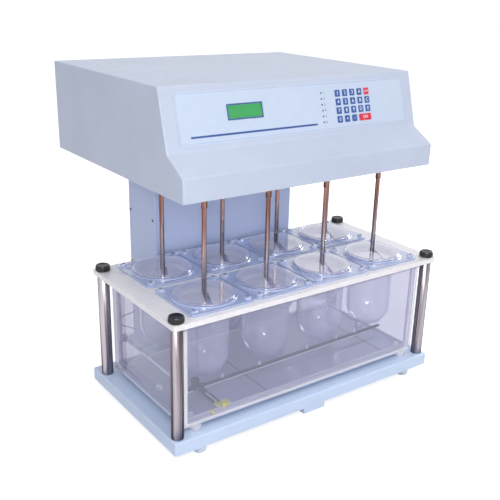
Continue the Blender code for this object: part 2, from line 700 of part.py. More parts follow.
def head_corners():
    """Side view of the head: lip, ledge, sloped panel, top and back."""
    lip_top = HEAD_BOTTOM + LIP_HEIGHT
    return [Vector(point) for point in (
        (HEAD_FRONT, HEAD_BOTTOM), (HEAD_BACK, HEAD_BOTTOM), (HEAD_BACK, HEAD_TOP),
        PANEL_TOP.yz, PANEL_BOTTOM.yz, (HEAD_FRONT, lip_top))]


def make_head_cover(material):
    """Sheet cover of the head, open below and behind."""
    shell = bmesh.new()
    outside = rounded(head_corners(), BEND_RADIUS, sharp=(0, 1, 2))
    add_prism(shell, outside, -HEAD_HALF_WIDTH, HEAD_HALF_WIDTH, "X")
    inside = inset(head_corners(), SHEET)
    for i in (0, 1):
        inside[i].y = HEAD_BOTTOM - OVERRUN
    for i in (1, 2):
        inside[i].x = HEAD_BACK + OVERRUN
    hollow = bmesh.new()
    add_prism(hollow, rounded(inside, BEND_RADIUS - SHEET, sharp=(0, 1, 2)),
              -HEAD_INNER_HALF_WIDTH, HEAD_INNER_HALF_WIDTH, "X")
    mesh = combine(mesh_from("head_cover", shell), hollow, "DIFFERENCE")
    place("head_cover", mesh, material)


def make_head_floor(material):
    """Floor plate of the head, with a bearing housing for each spindle."""
    floor = bmesh.new()
    half = HEAD_INNER_HALF_WIDTH - GAP
    add_block(floor, (-half, HEAD_FRONT + SHEET + GAP, HEAD_BOTTOM), (half, HEAD_BACK, FLOOR_TOP))
    mesh = mesh_from("head_floor", floor)
    housings = bmesh.new()
    bores = bmesh.new()
    bore_radius = clearing_radius(SHAFT_RADIUS, SHAFT_SIDES)
    for station in STATIONS:
        add_rod(housings, BEARING_DIAMETER / 2, FLOOR_TOP - FLOOR_THICKNESS / 2, BEARING_TOP,
                SHAFT_SIDES, station)
        add_rod(bores, bore_radius, HEAD_BOTTOM - OVERRUN, BEARING_TOP + OVERRUN,
                SHAFT_SIDES, station)
    mesh = combine(mesh, housings, "UNION")
    place("head_floor", smooth(combine(mesh, bores, "DIFFERENCE")), material)


def make_back_panel(material):
    """Back panel of the head, with the power switch's cut-out and the inlet's socket."""
    panel = bmesh.new()
    half = HEAD_INNER_HALF_WIDTH - GAP
    add_block(panel, (-half, BACK_PANEL_Y - SHEET, FLOOR_TOP + GAP),
              (half, BACK_PANEL_Y, HEAD_TOP - SHEET - GAP))
    mesh = mesh_from("head_back_panel", panel)
    inlet_x = SWITCH_X + INLET_SPACING
    half_width = INLET_WIDTH / 2
    half_height = INLET_HEIGHT / 2
    socket = bmesh.new()
    add_block(socket, (inlet_x - half_width, BACK_PANEL_Y - INLET_DEPTH, SWITCH_Z - half_height),
              (inlet_x + half_width, BACK_PANEL_Y - SHEET / 2, SWITCH_Z + half_height))
    mesh = combine(mesh, socket, "UNION")
    openings = bmesh.new()
    add_block(openings, (inlet_x - half_width + INLET_WALL,
                         BACK_PANEL_Y - INLET_DEPTH + INLET_WALL,
                         SWITCH_Z - half_height + INLET_WALL),
              (inlet_x + half_width - INLET_WALL, BACK_PANEL_Y + OVERRUN,
               SWITCH_Z + half_height - INLET_WALL))
    slot_half_width = SWITCH_WIDTH / 2 + GAP
    slot_half_height = SWITCH_RADIUS + GAP
    add_block(openings, (SWITCH_X - slot_half_width, BACK_PANEL_Y - SHEET - OVERRUN,
                         SWITCH_Z - slot_half_height),
              (SWITCH_X + slot_half_width, BACK_PANEL_Y + OVERRUN, SWITCH_Z + slot_half_height))
    place("head_back_panel", combine(mesh, openings, "DIFFERENCE"), material)


def make_power_switch(material):
    """Rocker that turns in the back panel, resting with its lower half in."""
    outline = []
    for step in range(SWITCH_STEPS + 1):
        sweep = 2 * (math.pi - SWITCH_FACE_ANGLE)
        angle = SWITCH_FACE_ANGLE + sweep * step / SWITCH_STEPS
        outline.append(Vector((math.cos(angle), math.sin(angle))) * SWITCH_RADIUS)
    outline.append(Vector((SWITCH_FACE_DIP, 0)))
    shape = bmesh.new()
    add_prism(shape, outline, -SWITCH_WIDTH / 2, SWITCH_WIDTH / 2, "X")
    switch = place("power_switch", mesh_from("power_switch", shape), material,
                   (SWITCH_X, SWITCH_Y, SWITCH_Z))
    switch.rotation_euler.x = SWITCH_TILT


def panel_frame(x_left, top_inset):
    """Turn (right, down, out) places on the sloped panel into places in the machine."""
    corner = PANEL_TOP - PANEL_UP * top_inset
    corner.x = x_left
    axes = Matrix((Vector((1, 0, 0)), PANEL_UP, PANEL_OUT)).transposed().to_4x4()
    return Matrix.Translation(corner) @ axes


def make_control_panel(film, glass):
    """Printed key film on the sloped panel, and the display window let into it."""
    left = OVERLAY_SIDE_MARGIN - HEAD_HALF_WIDTH
    width = 2 * (HEAD_HALF_WIDTH - OVERLAY_SIDE_MARGIN)
    slope = (PANEL_TOP - PANEL_BOTTOM).length
    height = slope - OVERLAY_TOP_MARGIN - OVERLAY_BOTTOM_MARGIN
    frame = panel_frame(left, OVERLAY_TOP_MARGIN)
    sheet = bmesh.new()
    outline = rounded(rectangle(0, width, -height, 0), OVERLAY_CORNER_RADIUS)
    add_prism(sheet, outline, GAP, GAP + OVERLAY_THICKNESS)
    window = rectangle(DISPLAY_SIDE_INSET, DISPLAY_SIDE_INSET + DISPLAY_WIDTH,
                       -DISPLAY_TOP_INSET - DISPLAY_HEIGHT, -DISPLAY_TOP_INSET)
    hole = bmesh.new()
    add_prism(hole, window, -OVERRUN, GAP + OVERLAY_THICKNESS + OVERRUN)
    mesh = combine(mesh_from("control_overlay", sheet), hole, "DIFFERENCE")
    mesh.transform(frame)
    place("control_overlay", mesh, film)
    pane = bmesh.new()
    add_prism(pane, inset(window, GAP), GAP, GAP + DISPLAY_THICKNESS)
    pane_mesh = mesh_from("display_window", pane)
    pane_mesh.transform(frame)
    place("display_window", pane_mesh, glass)


def belt_outline(offset):
    """Loop round the four corner pulleys, at a distance from their middles."""
    loop = rectangle(STATION_XS[0] - offset, STATION_XS[-1] + offset,
                     ROW_YS[0] - offset, ROW_YS[-1] + offset)
    return rounded(loop, offset, BELT_CORNER_STEPS)


def make_belt(material):
    """Toothed belt that drives every spindle the same way."""
    inside = clearing_radius(PULLEY_RADIUS, 4 * BELT_CORNER_STEPS)
    low = PULLEY_BOTTOM + (PULLEY_HEIGHT - BELT_WIDTH) / 2
    high = low + BELT_WIDTH
    ring = bmesh.new()
    add_prism(ring, belt_outline(inside + BELT_THICKNESS), low, high)
    hollow = bmesh.new()
    add_prism(hollow, belt_outline(inside), low - OVERRUN, high + OVERRUN)
    mesh = combine(mesh_from("drive_belt", ring), hollow, "DIFFERENCE")
    place("drive_belt", mesh, material)


def make_motor(casing, steel):
    """Drive motor on a bridge bracket over its pulley."""
    motor = bmesh.new()
    add_rod(motor, MOTOR_DIAMETER / 2, MOTOR_BOTTOM - BRACKET_SHEET / 2,
            MOTOR_BOTTOM + MOTOR_HEIGHT, BORE_SIDES, (0, MOTOR_Y))
    bridge = bmesh.new()
    half = BRACKET_WIDTH / 2
    front = MOTOR_Y - BRACKET_FRONT_REACH
    back = MOTOR_Y + BRACKET_BACK_REACH
    legs = [Vector(point) for point in (
        (front, FLOOR_TOP + GAP), (front + BRACKET_SHEET, FLOOR_TOP + GAP),
        (front + BRACKET_SHEET, BRACKET_BOTTOM), (back - BRACKET_SHEET, BRACKET_BOTTOM),
        (back - BRACKET_SHEET, FLOOR_TOP + GAP), (back, FLOOR_TOP + GAP),
        (back, MOTOR_BOTTOM), (front, MOTOR_BOTTOM))]
    add_prism(bridge, legs, -half, half, "X")
    mesh = combine(mesh_from("drive_motor", motor), bridge, "UNION")
    bore = bmesh.new()
    shaft_radius = MOTOR_SHAFT_DIAMETER / 2
    shaft_top = MOTOR_BOTTOM + MOTOR_SHAFT_REACH
    add_rod(bore, clearing_radius(shaft_radius, SHAFT_SIDES), BRACKET_BOTTOM - OVERRUN,
            shaft_top + GAP, SHAFT_SIDES, (0, MOTOR_Y))
    place("drive_motor", smooth(combine(mesh, bore, "DIFFERENCE")), casing)
    pulley = bmesh.new()
    add_turned(pulley, [(0, PULLEY_BOTTOM), (MOTOR_PULLEY_RADIUS, PULLEY_BOTTOM),
                        (MOTOR_PULLEY_RADIUS, PULLEY_TOP), (shaft_radius, PULLEY_TOP),
                        (shaft_radius, shaft_top), (0, shaft_top)], SHAFT_SIDES)
    place("motor_pulley", smooth(mesh_from("motor_pulley", pulley)), steel, (0, MOTOR_Y, 0))


def build():
    """Make every piece."""
    clear_scene()
    painted = paint("painted_steel", (0.57, 0.64, 0.79), 0.45)
    panel_paint = paint("head_paint", (0.60, 0.68, 0.84), 0.40)
    steel = paint("polished_steel", (0.66, 0.64, 0.63), 0.22, 1.0)
    black = paint("black_plastic", (0.015, 0.015, 0.02), 0.40)
    belt_rubber = paint("belt_rubber", (0.03, 0.03, 0.03), 0.80)
    motor_casing = paint("motor_casing", (0.08, 0.08, 0.09), 0.50)
    plate_white = paint("plate_white", (0.80, 0.80, 0.82), 0.40)
    centring_blue = paint("centring_blue", (0.36, 0.45, 0.68), 0.25, alpha=0.85)
    acrylic = paint("clear_acrylic", (0.86, 0.90, 0.94), 0.05, alpha=0.25)
    glass = paint("clear_glass", (0.90, 0.93, 0.95), 0.03, alpha=0.25)
    lid_clear = paint("clear_lid", (0.85, 0.89, 0.94), 0.06, alpha=0.35)
    film = paint("overlay_film", (0.68, 0.78, 0.90), 0.35)
    display = paint("display_green", (0.09, 0.48, 0.12), 0.15)
    make_base(painted)
    make_feet(painted)
    make_posts(steel, black)
    make_vessel_plate(plate_white)
    make_centring_plates(centring_blue)
    make_vessels(glass)
    make_lids(lid_clear)
    make_paddles(steel)
    make_bath(acrylic)
    make_probe_tube(steel)
    make_supply_tube(steel)
    make_column(painted)
    make_head_cover(panel_paint)
    make_head_floor(panel_paint)
    make_back_panel(panel_paint)
    make_power_switch(black)
    make_control_panel(film, display)
    make_belt(belt_rubber)
    make_motor(motor_casing, steel)


build()
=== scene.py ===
"""Looks of the tablet dissolution tester, in metres, +Z up, with the front towards -Y."""
import math

import bmesh
import bpy
from mathutils import Matrix, Vector


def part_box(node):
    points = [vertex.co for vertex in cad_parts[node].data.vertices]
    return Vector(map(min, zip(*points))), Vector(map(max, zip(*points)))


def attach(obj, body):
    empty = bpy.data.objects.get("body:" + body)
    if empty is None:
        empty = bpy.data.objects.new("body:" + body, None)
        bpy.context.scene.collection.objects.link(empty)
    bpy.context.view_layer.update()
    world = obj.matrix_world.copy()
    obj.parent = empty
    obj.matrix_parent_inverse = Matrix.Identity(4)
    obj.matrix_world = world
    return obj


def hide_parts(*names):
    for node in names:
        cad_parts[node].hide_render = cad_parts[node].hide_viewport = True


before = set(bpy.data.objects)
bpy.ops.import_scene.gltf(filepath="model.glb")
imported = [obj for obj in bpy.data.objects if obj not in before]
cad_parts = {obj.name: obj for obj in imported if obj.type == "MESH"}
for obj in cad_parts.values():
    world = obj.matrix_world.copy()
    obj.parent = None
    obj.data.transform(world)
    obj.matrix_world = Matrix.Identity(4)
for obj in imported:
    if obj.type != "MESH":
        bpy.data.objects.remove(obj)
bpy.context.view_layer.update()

# Places read from the frame
STATION_COUNT = 8
ROW_LENGTH = 4
PLATE_LOW, PLATE_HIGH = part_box("vessel_plate")
BATH_LOW, BATH_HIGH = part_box("water_bath")
BASE_LOW, BASE_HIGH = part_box("base_tray")
COLUMN_LOW, COLUMN_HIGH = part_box("column_shell")
HEAD_LOW, HEAD_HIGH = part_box("head_cover")
FLOOR_LOW, FLOOR_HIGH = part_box("head_floor")
BACK_LOW, BACK_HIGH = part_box("head_back_panel")
VESSEL_LOW, VESSEL_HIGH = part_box("vessel_1")
LID_LOW, LID_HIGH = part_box("vessel_lid_1")
CENTRING_LOW, CENTRING_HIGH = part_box("centring_plate_1")
SHAFT_LOW, SHAFT_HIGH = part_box("paddle_shaft_1")
KNOB_LOW, KNOB_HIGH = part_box("post_knob_1")
POST_LOW, POST_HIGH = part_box("post_1")
FOOT_LOW, FOOT_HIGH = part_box("foot_1")
ROCKER_LOW, ROCKER_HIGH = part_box("power_switch")


def middle(node):
    """Middle of a node seen from above."""
    low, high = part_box(node)
    return Vector(((low.x + high.x) / 2, (low.y + high.y) / 2, 0))


STATIONS = [middle(f"centring_plate_{i}") for i in range(1, STATION_COUNT + 1)]
POSTS = [middle(f"post_{i}") for i in range(1, 5)]
FEET = [middle(f"foot_{i}") for i in range(1, 5)]

# Shared finish of the meshes
GAP = 0.0003
ROUND_SIDES = 64
FINE_SIDES = 96
CORNER_STEPS = 6
EDGE_STEPS = 3
FLAT_FACE_AREA = 0.00006
STRIP_WIDTH = 0.0022

# Head
SHEET = 0.002
LIP_HEIGHT = 0.047
LEDGE_RISE = 0.0323
LEDGE_DEPTH = 0.0554
PANEL_SETBACK = 0.0339
HEAD_BEND = 0.0035
SIDE_BEND = 0.0022
PANEL_BOTTOM = Vector((0, HEAD_LOW.y + LEDGE_DEPTH, HEAD_LOW.z + LIP_HEIGHT + LEDGE_RISE))
PANEL_TOP = Vector((0, PANEL_BOTTOM.y + PANEL_SETBACK, HEAD_HIGH.z))
PANEL_UP = (PANEL_TOP - PANEL_BOTTOM).normalized()
PANEL_OUT = Vector((1, 0, 0)).cross(PANEL_UP)

# Printed panel: sizes along the slope, from its top edge down
OVERLAY_SIDE_MARGIN = 0.0293
OVERLAY_TOP = 0.0134
OVERLAY_BOTTOM = 0.1122
OVERLAY_RISE = 0.0011
BORDER_INSET = 0.0022
BORDER_WIDTH = 0.0008
BEZEL_LEFT = -0.1830
BEZEL_RIGHT = -0.0980
BEZEL_TOP = 0.0410
BEZEL_BOTTOM = 0.0723
BEZEL_BAND = 0.0030
LINE_LEFT = -0.2700
LINE_RIGHT = 0.0370
LINE_DOWN = 0.0978
LINE_WIDTH = 0.0039
KEY_FIRST_X = 0.1003
KEY_FIRST_DOWN = 0.0376
KEY_PITCH_X = 0.0208
KEY_PITCH_DOWN = 0.01827
KEY_WIDTH = 0.0140
KEY_HEIGHT = 0.0142
KEY_CORNER = 0.0016
KEY_RISE = 0.0007
LAMP_X = 0.0555
LAMP_FIRST_DOWN = 0.0345
LAMP_PITCH = 0.0121
LAMP_RADIUS = 0.0020
PRINT_RISE = 0.00012


def linear(red, green, blue):
    """Colour written as it looks on a screen, 0 to 255, as the shader wants it."""
    return tuple(((value / 255 + 0.055) / 1.055) ** 2.4 if value > 10 else value / 3295
                 for value in (red, green, blue))


# Colours as they look in plain light; the column, base and steel colours also carry painted light
# and shade
HEAD_BLUE = linear(190, 200, 221)
# Base paint, set lighter than the head's: partly painted light on its top
BASE_BLUE = linear(200, 217, 244)
# Column paint, set darker and bluer than the head's: partly painted shade and blue bounce light
# under the head
COLUMN_BLUE = linear(185, 198, 231)
MILK_WHITE = linear(236, 234, 238)
CENTRING_BLUE = linear(190, 205, 242)
ACRYLIC_TINT = linear(206, 210, 248)
FLOOR_TINT = linear(220, 223, 244)
ACRYLIC_EDGE_TINT = linear(236, 237, 244)
LID_TINT = linear(228, 228, 244)
GLASS_TINT = linear(200, 205, 248)
FILM_BLUE = linear(194, 208, 230)
LCD_GREEN = linear(72, 166, 98)
BEZEL_BLUE = linear(58, 100, 152)
KEY_BLUE = linear(45, 88, 160)
KEY_RED = linear(214, 26, 66)
LINE_BLUE = linear(42, 80, 150)
PRINT_WHITE = linear(240, 244, 250)
PRINT_GREY = linear(70, 88, 136)
PRINT_BORDER = linear(158, 172, 202)
KNOB_BLACK = linear(15, 15, 21)
# Steel bands: a painted highlight, painted dark reflections and a copper tone
STEEL_PAINTED_HIGHLIGHT = linear(190, 183, 190)
STEEL_PAINTED_DARK_REFLECTION = linear(92, 82, 88)
STEEL_WARM = linear(146, 92, 72)
NOZZLE_AND_HIGHLIGHT_WHITE = linear(226, 228, 240)
SEAM_GREY = linear(60, 60, 84)
FITTING_BLACK = linear(20, 20, 34)
PLUG_YELLOW = linear(222, 216, 60)
CLEAR = (1.0, 1.0, 1.0)
SMOKED = (0.87, 0.87, 0.90)


# Procedural finishes
def new_material(name):
    """Material with its shader and output, and nothing else."""
    material = bpy.data.materials.new(name)
    material.use_nodes = True
    tree = material.node_tree
    shader = tree.nodes["Principled BSDF"]
    return material, tree, shader


def add_node(tree, kind, links=None, **settings):
    """Node with its settings; links gives what feeds each input, by name or number."""
    node = tree.nodes.new(kind)
    for key, value in settings.items():
        if hasattr(node, key):
            setattr(node, key, value)
        else:
            node.inputs[key.replace("_", " ")].default_value = value
    for socket, source in (links or {}).items():
        tree.links.new(source, node.inputs[socket])
    return node


def object_place(tree, scale=(1, 1, 1)):
    """Place on the piece, stretched by a scale."""
    place = add_node(tree, "ShaderNodeTexCoord")
    mapping = add_node(tree, "ShaderNodeMapping", {"Vector": place.outputs["Object"]})
    mapping.inputs["Scale"].default_value = scale
    return mapping.outputs["Vector"]


def noise(tree, place, scale, detail=2.0, roughness=0.5):
    """Soft random pattern, from 0 to 1."""
    node = add_node(tree, "ShaderNodeTexNoise", {"Vector": place})
    node.inputs["Scale"].default_value = scale
    node.inputs["Detail"].default_value = detail
    node.inputs["Roughness"].default_value = roughness
    return node.outputs["Fac"]


def ramp(tree, value, stops):
    """Colours along a value, from (place, colour) stops."""
    node = add_node(tree, "ShaderNodeValToRGB", {"Fac": value})
    band = node.color_ramp
    while len(band.elements) < len(stops):
        band.elements.new(0.5)
    for element, (place, colour) in zip(band.elements, stops):
        element.position = place
        element.color = (*colour, 1.0)
    return node.outputs["Color"]


def spread(tree, value, low, high, start=0.3, stop=0.7):
    """Move a value's range to low and high."""
    node = add_node(tree, "ShaderNodeMapRange", {"Value": value})
    node.inputs["From Min"].default_value = start
    node.inputs["From Max"].default_value = stop
    node.inputs["To Min"].default_value = low
    node.inputs["To Max"].default_value = high
    return node.outputs["Result"]


def bump(tree, shader, value, height, strength=1.0):
    """Raise the surface by a value times a height in metres."""
    node = add_node(tree, "ShaderNodeBump", {"Height": value})
    node.inputs["Strength"].default_value = strength
    node.inputs["Distance"].default_value = height
    tree.links.new(node.outputs["Normal"], shader.inputs["Normal"])


def shade(colour, factor):
    """Darker or lighter copy of a colour."""
    return tuple(min(1.0, value * factor) for value in colour)


def powder_paint(name, colour, roughness=0.42):
    """Baked enamel with a faint orange peel and slight mottling."""
    material, tree, shader = new_material(name)
    place = object_place(tree)
    mottle = noise(tree, place, 9.0, 3.0)
    tint = ramp(tree, mottle, ((0.3, shade(colour, 0.965)), (0.7, shade(colour, 1.02))))
    tree.links.new(tint, shader.inputs["Base Color"])
    tree.links.new(spread(tree, noise(tree, place, 60.0), roughness - 0.05, roughness + 0.06),
                   shader.inputs["Roughness"])
    bump(tree, shader, noise(tree, place, 900.0, 1.0), 0.00006, 0.5)
    shader.inputs["Specular IOR Level"].default_value = 0.45
    return material


def moulded(name, colour, roughness=0.4, grain=700.0, depth=0.00005, coat=0.0, mottle=0.09,
            metal=0.0, gloss=0.5):
    """Moulded plastic or plain metal with a fine grain and slight wear."""
    material, tree, shader = new_material(name)
    place = object_place(tree)
    tint = ramp(tree, noise(tree, place, 45.0), ((0.3, shade(colour, 1 - mottle)),
                                                 (0.7, shade(colour, 1 + mottle))))
    tree.links.new(tint, shader.inputs["Base Color"])
    tree.links.new(spread(tree, noise(tree, place, 140.0), roughness - 0.06, roughness + 0.08),
                   shader.inputs["Roughness"])
    bump(tree, shader, noise(tree, place, grain, 2.0), depth, 0.6)
    shader.inputs["Coat Weight"].default_value = coat
    shader.inputs["Coat Roughness"].default_value = 0.1
    shader.inputs["Metallic"].default_value = metal
    shader.inputs["Specular IOR Level"].default_value = gloss
    return material


def clear_sheet(name, tint, body, edge, gleam, sheen=0.7, roughness=0.04, haze=30.0,
                through=CLEAR):
    """Clear plastic or glass: hazier and glossier where it is seen edge on."""
    material, tree, shader = new_material(name)
    place = object_place(tree)
    mottle = noise(tree, place, haze, 3.0)
    shade_low = ramp(tree, mottle, ((0.3, shade(tint, 0.94)), (0.7, shade(tint, 1.03))))
    tree.links.new(shade_low, shader.inputs["Base Color"])
    tree.links.new(spread(tree, mottle, roughness, roughness + 0.05), shader.inputs["Roughness"])
    rim = add_node(tree, "ShaderNodeLayerWeight")
    rim.inputs["Blend"].default_value = 0.5
    steep = add_node(tree, "ShaderNodeMath", operation="POWER")
    tree.links.new(rim.outputs["Facing"], steep.inputs[0])
    steep.inputs[1].default_value = 3.0
    clear = add_node(tree, "ShaderNodeBsdfTransparent")
    clear.inputs["Color"].default_value = (*through, 1)
    hazy = add_node(tree, "ShaderNodeMixShader")
    tree.links.new(spread(tree, steep.outputs[0], body, edge, 0.05, 0.95), hazy.inputs["Fac"])
    tree.links.new(clear.outputs["BSDF"], hazy.inputs[1])
    tree.links.new(shader.outputs["BSDF"], hazy.inputs[2])
    shader.inputs["IOR"].default_value = 1.49
    shader.inputs["Coat Weight"].default_value = 1.0
    shader.inputs["Coat Roughness"].default_value = 0.02
    gloss = add_node(tree, "ShaderNodeBsdfGlossy")
    gloss.inputs["Color"].default_value = (0.93, 0.93, 1.0, 1)
    gloss.inputs["Roughness"].default_value = roughness
    both = add_node(tree, "ShaderNodeMixShader")
    tree.links.new(spread(tree, steep.outputs[0], gleam, sheen, 0.0, 1.0), both.inputs["Fac"])
    tree.links.new(hazy.outputs["Shader"], both.inputs[1])
    tree.links.new(gloss.outputs["BSDF"], both.inputs[2])
    tree.links.new(both.outputs["Shader"], tree.nodes["Material Output"].inputs["Surface"])
    return material


def drawn_steel(name, reflection_band_scale, roughness=0.24, warm_from=None, warm_to=None):
    """Round steel bar with light and dark bands along it that paint its highlight and reflections,
    and a copper tone over part of its height.
    """
    material, tree, shader = new_material(name)
    along = object_place(tree, (1, 1, 0.02))
    painted_reflection_band = noise(tree, along, reflection_band_scale, 2.0, 0.6)
    # Bands round the bar: painted dark reflections and a painted highlight line, fixed on the bar
    tint = ramp(tree, painted_reflection_band, ((0.35, STEEL_PAINTED_DARK_REFLECTION), (0.50, shade(STEEL_PAINTED_HIGHLIGHT, 0.60)),
                               (0.64, STEEL_PAINTED_HIGHLIGHT)))
    if warm_from is not None:
        place = add_node(tree, "ShaderNodeTexCoord")
        parts = add_node(tree, "ShaderNodeSeparateXYZ", {"Vector": place.outputs["Object"]})
        height = spread(tree, parts.outputs["Z"], 0.0, 0.8, warm_from, warm_to)
        mix = add_node(tree, "ShaderNodeMix", data_type="RGBA")
        tree.links.new(height, mix.inputs["Factor"])
        tree.links.new(tint, mix.inputs["A"])
        # Copper tone, with painted dark reflections in its darker bands
        warm = ramp(tree, painted_reflection_band, ((0.35, shade(STEEL_WARM, 0.35)), (0.6, STEEL_WARM)))
        tree.links.new(warm, mix.inputs["B"])
        tint = mix.outputs["Result"]
    tree.links.new(tint, shader.inputs["Base Color"])
    fine = noise(tree, object_place(tree, (1, 1, 0.01)), 900.0, 1.0)
    tree.links.new(spread(tree, fine, roughness - 0.06, roughness + 0.08),
                   shader.inputs["Roughness"])
    bump(tree, shader, fine, 0.00002, 0.3)
    shader.inputs["Metallic"].default_value = 1.0
    shader.inputs["Specular Tint"].default_value = (0.30, 0.26, 0.29, 1)
    return material


def display_glass():
    """Green display with its faint rows of dot cells behind a gloss window."""
    material, tree, shader = new_material("display_green")
    place = object_place(tree)
    cells = add_node(tree, "ShaderNodeTexBrick", {"Vector": object_place(tree, (1, 0, 1))})
    cells.inputs["Scale"].default_value = 120.0
    cells.inputs["Mortar Size"].default_value = 0.02
    cells.inputs["Color1"].default_value = (*LCD_GREEN, 1)
    cells.inputs["Color2"].default_value = (*shade(LCD_GREEN, 0.97), 1)
    cells.inputs["Mortar"].default_value = (*shade(LCD_GREEN, 0.93), 1)
    glow = ramp(tree, noise(tree, place, 30.0), ((0.3, shade(LCD_GREEN, 0.95)),
                                                 (0.7, shade(LCD_GREEN, 1.05))))
    mix = add_node(tree, "ShaderNodeMix", data_type="RGBA")
    mix.inputs["Factor"].default_value = 0.4
    tree.links.new(cells.outputs["Color"], mix.inputs["A"])
    tree.links.new(glow, mix.inputs["B"])
    tree.links.new(mix.outputs["Result"], shader.inputs["Base Color"])
    tree.links.new(spread(tree, noise(tree, place, 80.0), 0.30, 0.40), shader.inputs["Roughness"])
    shader.inputs["Specular IOR Level"].default_value = 0.2
    return material


PAINT_HEAD = powder_paint("head_paint", HEAD_BLUE)
PAINT_BASE = powder_paint("base_paint", BASE_BLUE)
PAINT_COLUMN = powder_paint("column_paint", COLUMN_BLUE)
MILK = moulded("plate_milk", MILK_WHITE, 0.35, 400.0, 0.00003, 0.3, 0.03)
CENTRING = clear_sheet("centring_blue", CENTRING_BLUE, 0.62, 0.95, 0.04, 0.6, 0.12)
ACRYLIC = clear_sheet("bath_acrylic", ACRYLIC_TINT, 0.12, 0.40, 0.035, 0.22, through=SMOKED)
ACRYLIC_FLOOR = clear_sheet("bath_floor", FLOOR_TINT, 0.54, 0.72, 0.04, 0.4, through=SMOKED)
ACRYLIC_EDGE = clear_sheet("bath_edges", ACRYLIC_EDGE_TINT, 0.66, 0.90, 0.14, 0.6, 0.10)
LID_CLEAR = clear_sheet("lid_clear", LID_TINT, 0.20, 0.90, 0.05, 0.40, 0.03)
GLASS = clear_sheet("vessel_glass", GLASS_TINT, 0.19, 0.90, 0.15, 0.9, 0.08, 12.0)
POST_STEEL = drawn_steel("post_steel", 95.0, 0.26)
SHAFT_STEEL = drawn_steel("shaft_steel", 260.0, 0.20, 0.33, 0.45)
TUBE_STEEL = drawn_steel("tube_steel", 300.0, 0.30)
SCREW_STEEL = moulded("screw_steel", linear(90, 88, 100), 0.35, 900.0, 0.00002)
BLACK = moulded("knob_black", KNOB_BLACK, 0.32, 900.0, 0.00006)
FITTING = moulded("fitting_black", FITTING_BLACK, 0.55, gloss=0.15)
YELLOW = moulded("plug_yellow", PLUG_YELLOW, 0.40)
RUBBER = moulded("belt_rubber", linear(34, 34, 36), 0.75, 500.0, 0.0001)
CASING = moulded("motor_casing", linear(84, 84, 92), 0.45, 300.0, 0.0001)
FOOT_PALE = moulded("foot_pale", linear(196, 208, 228), 0.5, 400.0, 0.0001)
STANDOFF_CLEAR = clear_sheet("standoff_clear", NOZZLE_AND_HIGHLIGHT_WHITE, 0.62, 0.95, 0.06, 0.7, 0.10)
FILM = moulded("overlay_film", FILM_BLUE, 0.36, 1500.0, 0.00001, 0.1, 0.015)
BEZEL = moulded("bezel_blue", BEZEL_BLUE, 0.3)
KEY_BLUE_FILM = moulded("key_blue", KEY_BLUE, 0.3, 1500.0, 0.00002, 0.2, 0.04)
KEY_RED_FILM = moulded("key_red", KEY_RED, 0.3, 1500.0, 0.00002, 0.2, 0.04)
# White plastic of the nozzles and fittings, also used for rods and cones that paint highlights and
# reflections
NOZZLE_AND_HIGHLIGHT = moulded("nozzle_and_highlight_white", NOZZLE_AND_HIGHLIGHT_WHITE, 0.25)
TUBE_PALE = moulded("tube_pale", linear(222, 222, 240), 0.20, 900.0, 0.00001, metal=1.0)
SEAM = moulded("seam_grey", SEAM_GREY, 0.6)
LINE_FILM = moulded("line_blue", LINE_BLUE, 0.35)
INK_WHITE = moulded("print_white", PRINT_WHITE, 0.4)
INK_GREY = moulded("print_grey", PRINT_GREY, 0.4)
INK_BORDER = moulded("print_border", PRINT_BORDER, 0.4)
DISPLAY = display_glass()


# Shapes
def rectangle(x0, x1, y0, y1):
    """Corners of a rectangle, anticlockwise."""
    return [Vector((x0, y0)), Vector((x1, y0)), Vector((x1, y1)), Vector((x0, y1))]


def rounded(corners, radius, steps=CORNER_STEPS, sharp=()):
    """Outline with an arc at each corner, but for those listed as sharp."""
    points = []
    for i, corner in enumerate(corners):
        if i in sharp:
            points.append(corner)
            continue
        back = (corners[i - 1] - corner).normalized()
        ahead = (corners[(i + 1) % len(corners)] - corner).normalized()
        half = back.angle(ahead) / 2
        centre = corner + (back + ahead).normalized() * radius / math.sin(half)
        start = corner + back * radius / math.tan(half) - centre
        end = corner + ahead * radius / math.tan(half) - centre
        turn = math.atan2(start.cross(end), start.dot(end))
        for step in range(steps + 1):
            points.append(centre + Matrix.Rotation(turn * step / steps, 2) @ start)
    return points


def circle(radius, sides=ROUND_SIDES, centre=(0, 0)):
    """Round outline, anticlockwise."""
    turns = [2 * math.pi * i / sides for i in range(sides)]
    return [Vector((centre[0] + radius * math.cos(turn), centre[1] + radius * math.sin(turn)))
            for turn in turns]


def sweep_places(axis):
    """How an outline point and a level become a place, for each sweep axis."""
    return {"X": lambda point, level: (level, point[0], point[1]),
            "Y": lambda point, level: (point[0], level, point[1]),
            "Z": lambda point, level: (point[0], point[1], level)}[axis]


def add_prism(shape, outline, low, high, axis="Z", holes=()):
    """Sweep an outline between two levels; each hole is an outline of its own."""
    place = sweep_places(axis)
    loops = []
    for ring in (outline, *holes):
        bottom = [shape.verts.new(place(point, low)) for point in ring]
        top = [shape.verts.new(place(point, high)) for point in ring]
        loops.append((bottom, top))
        for i in range(len(ring)):
            shape.faces.new((bottom[i - 1], bottom[i], top[i], top[i - 1]))
    for side in (0, 1):
        if not holes:
            shape.faces.new(loops[0][side])
            continue
        edges = []
        for loop in loops:
            ring = loop[side]
            edges += [shape.edges.get((ring[i - 1], ring[i])) for i in range(len(ring))]
        bmesh.ops.triangle_fill(shape, use_beauty=True, use_dissolve=False, edges=edges)


def add_block(shape, low, high):
    """Add a box between two corners."""
    add_prism(shape, rectangle(low[0], high[0], low[1], high[1]), low[2], high[2])


